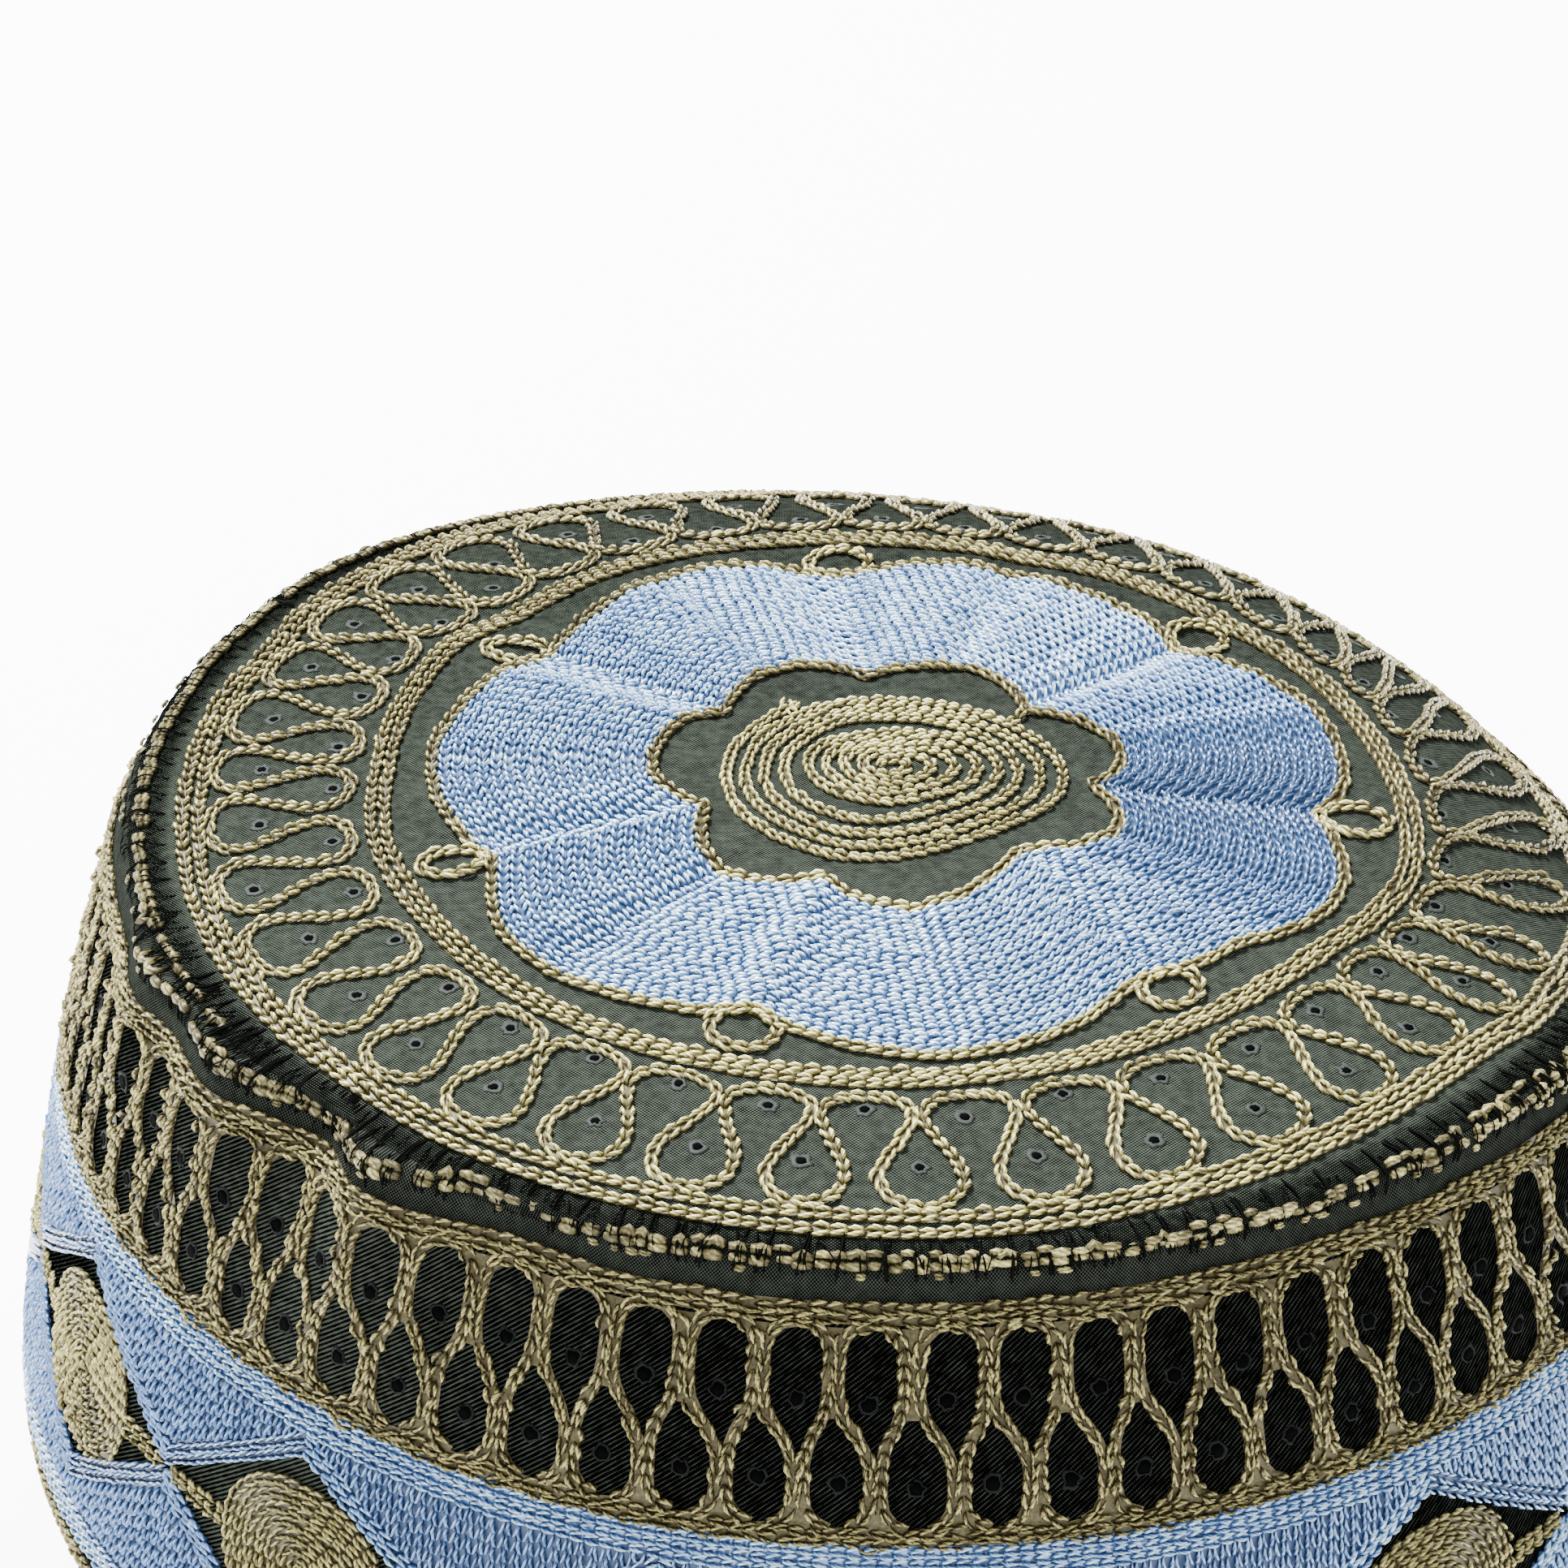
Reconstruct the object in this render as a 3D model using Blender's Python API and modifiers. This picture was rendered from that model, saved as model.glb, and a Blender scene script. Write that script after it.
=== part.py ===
"""An embroidered kufi, a round cloth cap, built as its real pieces.

Run with: blender --background --python part.py
Units are metres and +Z is up. The cap rests on its hem at z = 0, its axis is Z,
and its front faces -Y. Angles run counter-clockwise from +X, seen from above.
"""

import bpy
from math import atan2, cos, degrees, hypot, radians, sin, tau

MM = 0.001

# Driving dimensions
CAP_HEIGHT = 104.0 * MM         # middle of the top above the surface that it rests on
DOME_DROP = 3.8 * MM            # how far the top falls from its middle to the outer gold ring
DOME_POWER = 2.5                # how the fall gathers towards the edge
RING_RADIUS = 80.4 * MM         # outer gold ring on the top
SEAM_RADIUS = 86.2 * MM         # gold cord between the top and the wall
CLOTH = 1.6 * MM                # doubled cotton with its stitching
HEM_CLOTH = 2.2 * MM            # the same cloth turned in twice
HEM_HEIGHT = 8.0 * MM
CORD_DIAMETER = 2.0 * MM
GAP = 0.3 * MM                  # clearance between neighbouring pieces
STITCH_DEPTH = 0.7 * MM         # how far a field of chain stitch stands up

# Segments round the cap, which all turned pieces share so that their facets line up
SEGMENTS = 72

# The wall's outer side, from the seam down to the hem
WALL_PROFILE = (
    # height, radius (mm)
    (0.0, 95.3),
    (12.2, 98.6),
    (24.8, 101.1),
    (39.2, 99.9),
    (54.5, 97.4),
    (69.8, 94.8),
    (82.4, 91.8),
    (94.3, 88.4),
    (97.8, 87.4),
    (99.1, 86.6),
)
WALL_ROWS = 10

# How far the edge of the top sinks, because the soft cap slumps at its back right
SLUMP = (
    # angle (degrees), drop at the seam (mm)
    (5, 13.5),
    (18, 16.0),
    (29, 15.8),
    (40, 15.0),
    (50, 13.5),
    (61, 11.5),
    (80, 9.8),
    (94, 7.7),
    (108, 6.0),
    (121, 4.0),
    (133, 1.8),
    (146, 0.0),
    (230, 0.0),
    (318, 0.0),
    (335, 3.0),
    (350, 8.5),
)
SLUMP_START = 56.0 * MM         # radius inside which the top doesn't sink

# Puckers where the wall is gathered into the seam
PUCKERS = (
    # angle (degrees), outward shift of the wall's top (mm)
    (20, 0.4),
    (60, -0.6),
    (100, 0.5),
    (140, -0.4),
    (180, 0.3),
    (196, -0.2),
    (203, 1.6),
    (209, 0.3),
    (216, 1.7),
    (226, -1.7),
    (232, 1.6),
    (242, -1.3),
    (254, -0.4),
    (276, -0.6),
    (300, -0.9),
    (322, 0.5),
    (345, -0.3),
)
PUCKER_TOP = 97.0 * MM          # the puckers are deepest here
PUCKER_BOTTOM = 70.0 * MM       # and end here
SEAM_DENT_ANGLE = 226.0         # the seam itself is pinched in at one place
SEAM_DENT_DEPTH = 1.6 * MM
SEAM_DENT_WIDTH = 6.0           # degrees

# The raised embroidery of the top
MEDALLION_RADIUS = 18.6 * MM
FLOWER_LOBES = 7
FLOWER_PHASE = 46.0             # angle of the first outer notch, degrees
FLOWER_INNER_PHASE = 47.4       # angle of the first inner notch, degrees
FLOWER_INNER_NOTCH = 22.2 * MM
FLOWER_INNER_LOBE = 27.6 * MM
FLOWER_OUTER_NOTCH = 48.6 * MM
FLOWER_OUTER_LOBE = 53.4 * MM
LOBE_POWER = 2.4                # how square the lobes are
LOBE_ROUND = 0.6
INNER_RING_RADIUS = 58.2 * MM
RING_WIDTH = 3.4 * MM

# The raised gold ovals in the wall's black diamonds
LEAF_COUNT = 14
LEAF_PHASE = 24.8               # angle of the first oval, degrees
LEAF_HEIGHT = 52.6 * MM         # middle of the ovals above the surface
LEAF_HALF_WIDTH = 12.0 * MM
LEAF_HALF_HEIGHT = 10.4 * MM

# Colours from the photograph, as linear red, green, blue
BLACK_CLOTH = (0.020, 0.021, 0.018)
GOLD_THREAD = (0.48, 0.36, 0.17)
BLUE_THREAD = (0.20, 0.36, 0.68)


def smooth(rows, x):
    """Reads a table of (x, value) rows along a smooth curve through them."""
    last = len(rows) - 1
    i = 0
    while i < last - 1 and x > rows[i + 1][0]:
        i += 1

    def slope(k):
        low = max(k - 1, 0)
        high = min(k + 1, last)
        return (rows[high][1] - rows[low][1]) / (rows[high][0] - rows[low][0])

    span = rows[i + 1][0] - rows[i][0]
    t = (x - rows[i][0]) / span
    start = rows[i][1] * (1 + 2 * t) * (1 - t) ** 2 + slope(i) * span * t * (1 - t) ** 2
    end = rows[i + 1][1] * t * t * (3 - 2 * t) - slope(i + 1) * span * t * t * (1 - t)
    return start + end


def round_the_cap(rows, angle):
    """Reads a table of (degrees, value) rows as one closed curve."""
    before = [(a - 360, v) for a, v in rows[-2:]]
    after = [(a + 360, v) for a, v in rows[:2]]
    return smooth(before + list(rows) + after, degrees(angle) % 360)


def slump(angle):
    return max(round_the_cap(SLUMP, angle), 0.0) * MM


def seam_dent(angle):
    off = (degrees(angle) - SEAM_DENT_ANGLE + 180) % 360 - 180
    return -SEAM_DENT_DEPTH / (1 + (off / SEAM_DENT_WIDTH) ** 2) ** 2


def top_height(radius, angle):
    """Height of the upper side of the cap's top."""
    dome = DOME_DROP * (radius / RING_RADIUS) ** DOME_POWER
    past = max(radius - SLUMP_START, 0.0) / (SEAM_RADIUS - SLUMP_START)
    return CAP_HEIGHT - dome - slump(angle) * past * past


def seam_height():
    """Height of the seam where the top doesn't slump."""
    return CAP_HEIGHT - DOME_DROP * (SEAM_RADIUS / RING_RADIUS) ** DOME_POWER


def top_point(radius, angle, lift=0.0):
    """A point on the upper side of the top, pulled in where the seam is dented."""
    edge = max(radius - RING_RADIUS, 0.0) / (SEAM_RADIUS - RING_RADIUS)
    shifted = radius + seam_dent(angle) * edge
    return (shifted * cos(angle), shifted * sin(angle), top_height(radius, angle) + lift)


def wall_radius(height, angle):
    """Radius of the wall's outer side at a height of the unslumped cap."""
    radius = smooth(WALL_PROFILE, height / MM) * MM
    share = (height - PUCKER_BOTTOM) / (PUCKER_TOP - PUCKER_BOTTOM)
    share = min(max(share, 0.0), 1.0)
    pucker = round_the_cap(PUCKERS, angle) * MM * share * share * (3 - 2 * share)
    return radius + pucker + seam_dent(angle) * share ** 6


def wall_point(height, angle, lift=0.0):
    """A point on the wall's outer side, lowered where the cap slumps."""
    radius = wall_radius(height, angle) + lift
    above = height - HEM_HEIGHT
    settled = height - slump(angle) * above / (seam_height() - HEM_HEIGHT)
    return (radius * cos(angle), radius * sin(angle), settled)


def lobed(notch, lobe, phase, angle):
    """Radius of a flower outline with pointed notches between round lobes."""
    period = 360 / FLOWER_LOBES
    across = ((degrees(angle) - phase) % period) / period * 2 - 1
    return notch + (lobe - notch) * (1 - abs(across) ** LOBE_POWER) ** LOBE_ROUND


def new_material(name, colour, roughness, sheen=0.0):
    material = bpy.data.materials.new(name)
    material.use_nodes = True
    shader = material.node_tree.nodes["Principled BSDF"]
    shader.inputs["Base Color"].default_value = (*colour, 1.0)
    shader.inputs["Roughness"].default_value = roughness
    shader.inputs["Metallic"].default_value = 0.0
    shader.inputs["Sheen Weight"].default_value = sheen
    return material


def turned(name, profile, steps=SEGMENTS, closed=False):
    """A mesh turned about Z from (radius, height) pairs with a Screw modifier."""
    mesh = bpy.data.meshes.new(name + "_profile")
    points = [(radius, 0.0, height) for radius, height in profile]
    edges = [(i, i + 1) for i in range(len(points) - 1)]
    if closed:
        edges.append((len(points) - 1, 0))
    mesh.from_pydata(points, edges, [])
    source = bpy.data.objects.new(name + "_source", mesh)
    bpy.context.scene.collection.objects.link(source)
    screw = source.modifiers.new("Turn", "SCREW")
    screw.axis = "Z"
    screw.steps = steps
    screw.render_steps = steps
    screw.use_merge_vertices = True
    screw.merge_threshold = 0.00005
    screw.use_smooth_shade = True
    evaluated = source.evaluated_get(bpy.context.evaluated_depsgraph_get())
    result = bpy.data.meshes.new_from_object(evaluated)
    result.name = name
    bpy.data.objects.remove(source)
    return result


def shape(mesh, place):
    """Moves each vertex to place(radius, angle, height)."""
    for vertex in mesh.vertices:
        x, y, z = vertex.co
        vertex.co = place(hypot(x, y), atan2(y, x), z)
    mesh.update()


def add_piece(name, mesh, material, thickness=0.0, outward=False):
    """One named piece, thickened with Solidify when its mesh is an open sheet."""
    piece = bpy.data.objects.new(name, mesh)
    cap.objects.link(piece)
    mesh.materials.clear()
    mesh.materials.append(material)
    if thickness:
        solidify = piece.modifiers.new("Cloth thickness", "SOLIDIFY")
        solidify.thickness = thickness
        solidify.offset = 1.0 if outward else -1.0
        solidify.use_even_offset = True
    return piece


def build_crown_panel():
    edge = SEAM_RADIUS - CORD_DIAMETER / 2 - GAP
    radii = [0.0, 16 * MM, 32 * MM, 46 * MM, 57 * MM, 65 * MM, 72 * MM, 78.5 * MM, edge]
    mesh = turned("crown_panel", [(radius, -radius) for radius in radii])
    shape(mesh, lambda radius, angle, height: top_point(radius, angle))
    add_piece("crown_panel", mesh, black_cloth, CLOTH)


def build_seam_cord():
    curve = bpy.data.curves.new("seam_cord", "CURVE")
    curve.dimensions = "3D"
    curve.bevel_depth = CORD_DIAMETER / 2
    curve.bevel_resolution = 1
    curve.use_fill_caps = True
    path = curve.splines.new("POLY")
    path.points.add(SEGMENTS - 1)
    path.use_cyclic_u = True
    for i, point in enumerate(path.points):
        point.co = (*top_point(SEAM_RADIUS, i * tau / SEGMENTS), 1.0)
    cord = bpy.data.objects.new("seam_cord", curve)
    cap.objects.link(cord)
    curve.materials.append(gold_thread)


def build_side_band():
    low = HEM_HEIGHT + GAP
    high = seam_height() - CORD_DIAMETER / 2 - GAP
    profile = [(SEAM_RADIUS, high + (low - high) * i / WALL_ROWS) for i in range(WALL_ROWS + 1)]
    mesh = turned("side_band", profile)
    shape(mesh, lambda radius, angle, height: wall_point(height, angle))
    add_piece("side_band", mesh, black_cloth, CLOTH)


def build_hem_band():
    corners = ((0, HEM_HEIGHT), (0, 0), (HEM_CLOTH, 0), (HEM_CLOTH, HEM_HEIGHT))
    profile = [(wall_radius(height, 0) - depth, height) for depth, height in corners]
    mesh = turned("hem_band", profile, closed=True)
    mesh.set_sharp_from_angle(angle=radians(40))
    add_piece("hem_band", mesh, black_cloth)


def build_flat_ring(name, radius):
    """A raised ring of chain stitch on the top, two rows wide."""
    rows = (radius - RING_WIDTH / 2, radius + RING_WIDTH / 2)
    mesh = turned(name, [(row, -row) for row in rows])
    shape(mesh, lambda row, angle, height: top_point(row, angle, GAP))
    add_piece(name, mesh, gold_thread, STITCH_DEPTH, outward=True)


def build_centre_medallion():
    radii = (0.0, MEDALLION_RADIUS * 0.6, MEDALLION_RADIUS)
    mesh = turned("centre_medallion", [(radius, -radius) for radius in radii], steps=SEGMENTS // 2)
    shape(mesh, lambda radius, angle, height: top_point(radius, angle, GAP))
    add_piece("centre_medallion", mesh, gold_thread, STITCH_DEPTH, outward=True)


def build_flower_field():
    """The blue flower between its inner and outer outlines, turned from three rings."""
    def place(radius, angle, height):
        share = radius / MM - 1
        inner = lobed(FLOWER_INNER_NOTCH, FLOWER_INNER_LOBE, FLOWER_INNER_PHASE, angle)
        outer = lobed(FLOWER_OUTER_NOTCH, FLOWER_OUTER_LOBE, FLOWER_PHASE, angle)
        return top_point(inner + (outer - inner) * share, angle, GAP)

    rings = ((1.0 * MM, 0.0), (1.5 * MM, -0.5 * MM), (2.0 * MM, -1.0 * MM))
    mesh = turned("flower_field", rings, steps=FLOWER_LOBES * 12)
    shape(mesh, place)
    add_piece("flower_field", mesh, blue_thread, STITCH_DEPTH, outward=True)


def build_leaf_medallion(index):
    """One gold oval, turned as a flat disc and then laid on the wall."""
    middle = radians(LEAF_PHASE + index * 360 / LEAF_COUNT)

    def place(radius, angle, height):
        across = radius * cos(angle) / MM * LEAF_HALF_WIDTH
        up = radius * sin(angle) / MM * LEAF_HALF_HEIGHT
        level = LEAF_HEIGHT + up
        turn = middle + across / wall_radius(level, middle)
        return wall_point(level, turn, GAP)

    name = f"leaf_medallion_{index + 1:02d}"
    rings = ((0.0, 0.0), (0.6 * MM, -0.6 * MM), (1.0 * MM, -1.0 * MM))
    mesh = turned(name, rings, steps=12)
    shape(mesh, place)
    add_piece(name, mesh, gold_thread, STITCH_DEPTH, outward=True)


for leftover in list(bpy.data.objects):
    bpy.data.objects.remove(leftover)

cap = bpy.data.collections.new("kufi")
bpy.context.scene.collection.children.link(cap)

black_cloth = new_material("black_cloth", BLACK_CLOTH, 0.85, sheen=0.3)
gold_thread = new_material("gold_thread", GOLD_THREAD, 0.45)
blue_thread = new_material("blue_thread", BLUE_THREAD, 0.40)

build_crown_panel()
build_seam_cord()
build_side_band()
build_hem_band()
build_centre_medallion()
build_flower_field()
build_flat_ring("inner_ring", INNER_RING_RADIUS)
build_flat_ring("outer_ring", RING_RADIUS)
for leaf in range(LEAF_COUNT):
    build_leaf_medallion(leaf)
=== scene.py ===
import bpy
import numpy as np
from math import pi, radians
from mathutils import Euler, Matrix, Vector


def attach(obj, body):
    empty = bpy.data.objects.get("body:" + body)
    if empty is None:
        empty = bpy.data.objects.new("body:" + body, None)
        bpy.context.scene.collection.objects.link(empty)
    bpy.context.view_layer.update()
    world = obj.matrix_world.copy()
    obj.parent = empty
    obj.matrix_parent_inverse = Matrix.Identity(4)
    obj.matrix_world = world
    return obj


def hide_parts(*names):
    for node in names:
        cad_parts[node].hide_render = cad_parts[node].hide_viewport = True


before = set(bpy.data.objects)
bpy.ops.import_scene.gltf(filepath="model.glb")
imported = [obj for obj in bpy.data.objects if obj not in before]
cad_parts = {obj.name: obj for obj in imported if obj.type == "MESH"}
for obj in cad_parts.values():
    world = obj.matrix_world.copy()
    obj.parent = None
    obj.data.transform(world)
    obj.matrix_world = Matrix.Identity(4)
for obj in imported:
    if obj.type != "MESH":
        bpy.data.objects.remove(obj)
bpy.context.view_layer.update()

# Lengths below are millimetres and angles are degrees, counter-clockwise from +X.
# Meshes are scaled to metres when they are made.
MM = 0.001

# The cap's surface follows the CAD model's formulas. The pinch in the seam is a little wider
# than there, and the flower's pleats are only here.
CAP_HEIGHT = 104.0
DOME_DROP = 3.8
DOME_POWER = 2.5
RING_RADIUS = 80.4
SEAM_RADIUS = 86.2
CLOTH = 1.6
HEM_CLOTH = 2.2
HEM_HEIGHT = 8.0
WALL_PROFILE = (
    # height, radius
    (0.0, 95.3), (12.2, 98.6), (24.8, 101.1), (39.2, 99.9), (54.5, 97.4),
    (69.8, 94.8), (82.4, 91.8), (94.3, 88.4), (97.8, 87.4), (99.1, 86.6),
)
SLUMP = (
    # angle, drop at the seam
    (5, 13.5), (18, 16.0), (29, 15.8), (40, 15.0), (50, 13.5), (61, 11.5), (80, 9.8),
    (94, 7.7), (108, 6.0), (121, 4.0), (133, 1.8), (146, 0.0), (230, 0.0), (318, 0.0),
    (335, 3.0), (350, 8.5),
)
SLUMP_START = 56.0
PUCKERS = (
    # angle, outward shift of the wall's top
    (20, 0.4), (60, -0.6), (100, 0.5), (140, -0.4), (180, 0.3), (196, -0.2), (203, 1.6),
    (209, 0.3), (216, 1.7), (226, -1.7), (232, 1.6), (242, -1.3), (254, -0.4), (276, -0.6),
    (300, -0.9), (322, 0.5), (345, -0.3),
)
PUCKER_TOP = 97.0
PUCKER_BOTTOM = 70.0
SEAM_DENT_ANGLE = 226.0
SEAM_DENT_DEPTH = 1.6
SEAM_DENT_WIDTH = 7.5
FLUTE = 0.24                    # height of the flower's soft pleats
CREASE = 0.30                   # depth of the crease at each of its notches
CREASE_WIDTH = 2.6
PLEATED = (22, 57, 8)           # the pleats' inner and outer radius, and how far they fade
NORMAL_STEP = 0.2

# Chain stitch
USUAL_PITCH = 1.84
USUAL_WIDTH = 1.62
STITCH_HEIGHT = 0.8
BED_LIFT = 0.12
STRAND_REACH = 0.335            # from the row's middle to a strand, as a share of its width
STRAND_THICK = 0.165
STRAND_TALL = 0.42              # as a share of the stitch's height
# How much links differ from each other, as shares of what is named
PLACE_SCATTER = 0.05
REACH_SCATTER = 0.10
HEIGHT_SCATTER = 0.12
SWING_SCATTER = 0.04
THICK_SCATTER = 0.08

# The camera, at the photograph's view
CAMERA_PLACE = (-11.69, -551.21, 447.99)
CAMERA_TURN = (57.902, -1.118, 0.701)
CAMERA_LENS = 130.43
CAMERA_SENSOR = 36.0

rng = np.random.default_rng(11)


def smooth(rows, x):
    """Reads a table of (x, value) rows along a smooth curve through them."""
    at, value = np.array(rows, float).T
    x = np.asarray(x, float)
    slope = np.empty_like(value)
    slope[1:-1] = (value[2:] - value[:-2]) / (at[2:] - at[:-2])
    slope[0] = (value[1] - value[0]) / (at[1] - at[0])
    slope[-1] = (value[-1] - value[-2]) / (at[-1] - at[-2])
    i = np.clip(np.searchsorted(at, x) - 1, 0, len(at) - 2)
    span = at[i + 1] - at[i]
    t = (x - at[i]) / span
    start = value[i] * (1 + 2 * t) * (1 - t) ** 2 + slope[i] * span * t * (1 - t) ** 2
    end = value[i + 1] * t * t * (3 - 2 * t) - slope[i + 1] * span * t * t * (1 - t)
    return start + end


def round_the_cap(rows, angle, column=1):
    """Reads a column of a table, whose rows start with degrees, as one closed curve."""
    before = [(row[0] - 360, row[column]) for row in rows[-2:]]
    inside = [(row[0], row[column]) for row in rows]
    after = [(row[0] + 360, row[column]) for row in rows[:2]]
    return smooth(before + inside + after, np.asarray(angle, float) % 360)


def turn_from(middle, angle):
    """Degrees from a middle angle, the shorter way round."""
    return (angle - middle + 180) % 360 - 180


def turn_of(x, y):
    return np.degrees(np.arctan2(y, x))


def unit(vectors):
    return vectors / (np.linalg.norm(vectors, axis=-1, keepdims=True) + 1e-9)


def slump(angle):
    return np.maximum(round_the_cap(SLUMP, angle), 0.0)


def seam_dent(angle):
    off = turn_from(SEAM_DENT_ANGLE, angle)
    return -SEAM_DENT_DEPTH / (1 + (off / SEAM_DENT_WIDTH) ** 2) ** 2


def seam_height():
    return CAP_HEIGHT - DOME_DROP * (SEAM_RADIUS / RING_RADIUS) ** DOME_POWER


def flutes(radius, angle):
    """Soft radial pleats that the dense sewing draws into the flower, deepest at its notches."""
    turn = np.radians(angle)
    waves = np.sin(23 * turn + 0.8) + 0.7 * np.sin(37 * turn + 2.1) + 0.6 * np.sin(11 * turn + 4.0)
    rise = FLUTE * waves
    for row in INNER_PETALS:
        off = turn_from(row[0], angle)
        rise = rise - CREASE * np.exp(-(off / CREASE_WIDTH) ** 2)
    inner, outer, fade = PLEATED
    return rise * np.clip((radius - inner) / fade, 0, 1) * np.clip((outer - radius) / fade, 0, 1)


def crown_point(radius, angle):
    """Points on the upper side of the cap's top."""
    radius, angle = np.broadcast_arrays(radius, angle)
    dome = DOME_DROP * (radius / RING_RADIUS) ** DOME_POWER
    past = np.maximum(radius - SLUMP_START, 0.0) / (SEAM_RADIUS - SLUMP_START)
    height = CAP_HEIGHT - dome - slump(angle) * past * past + flutes(radius, angle)
    edge = np.maximum(radius - RING_RADIUS, 0.0) / (SEAM_RADIUS - RING_RADIUS)
    shifted = radius + seam_dent(angle) * edge
    turn = np.radians(angle)
    return np.stack([shifted * np.cos(turn), shifted * np.sin(turn), height], -1)


def wall_point(height, angle):
    """Points on the wall's outer side, lowered where the cap slumps."""
    height, angle = np.broadcast_arrays(height, angle)
    radius = smooth(WALL_PROFILE, height)
    share = np.clip((height - PUCKER_BOTTOM) / (PUCKER_TOP - PUCKER_BOTTOM), 0.0, 1.0)
    radius = radius + round_the_cap(PUCKERS, angle) * share * share * (3 - 2 * share)
    radius = radius + seam_dent(angle) * share ** 6
    above = np.maximum(height - HEM_HEIGHT, 0.0)
    settled = height - slump(angle) * above / (seam_height() - HEM_HEIGHT)
    turn = np.radians(angle)
    return np.stack([radius * np.cos(turn), radius * np.sin(turn), settled], -1)


# The wall's pattern is laid out by the distance down the cloth from the top's outer gold ring
WALL_START = 5.7                # the distance at the top of the wall's profile
wall_levels = np.linspace(WALL_PROFILE[-1][0], 0.0, 400)
wall_radii = smooth(WALL_PROFILE, wall_levels)
wall_steps = np.hypot(np.diff(wall_levels), np.diff(wall_radii))
wall_downs = WALL_START + np.concatenate([[0.0], np.cumsum(wall_steps)])


def height_of(down):
    return np.interp(down, wall_downs, wall_levels)


def normals_of(surface, first, second, step):
    """Outward unit normals of surface(first, second) by small differences."""
    along = surface(first + step, second) - surface(first - step, second)
    across = surface(first, second + step) - surface(first, second - step)
    normal = np.cross(along, across)
    return normal / np.linalg.norm(normal, axis=-1, keepdims=True)


def surface_of(place, outward=1):
    """Makes a function that gives a surface's points and outward normals at rows of coordinates."""
    def read(plan):
        first, second = plan[:, 0], plan[:, 1]
        return place(first, second), outward * normals_of(place, first, second, NORMAL_STEP)

    return read


def crown_at(x, y):
    """The top's point under a plan position."""
    return crown_point(np.hypot(x, y), turn_of(x, y))


def wall_at(turn, down):
    """The wall's point at an angle and a distance down the cloth."""
    return wall_point(height_of(down), turn)


def edge_at(turn, out):
    """The point at a distance out from the top's outer gold ring, over its edge."""
    inside = crown_point(RING_RADIUS + np.minimum(out, WALL_START), turn)
    outside = wall_at(turn, np.maximum(out, WALL_START))
    return np.where((out < WALL_START)[..., None], inside, outside)


on_crown = surface_of(crown_at)
on_wall = surface_of(wall_at, -1)
on_edge = surface_of(edge_at, -1)


def polar(radius, angle):
    turn = np.radians(angle)
    return np.stack([radius * np.cos(turn), radius * np.sin(turn)], -1)


def through(points, steps):
    """A smooth curve through points, each pair joined by that many steps."""
    points = np.array(points, float)
    padded = np.concatenate([[2 * points[0] - points[1]], points, [2 * points[-1] - points[-2]]])
    t = np.linspace(0, 1, steps, endpoint=False)[:, None]
    parts = []
    for a, b, c, d in zip(padded, padded[1:], padded[2:], padded[3:]):
        bend = (2 * a - 5 * b + 4 * c - d) * t ** 2 + (3 * b - a - 3 * c + d) * t ** 3
        parts.append(b + (c - a) * t / 2 + bend / 2)
    return np.concatenate(parts + [points[-1:]])


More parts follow.
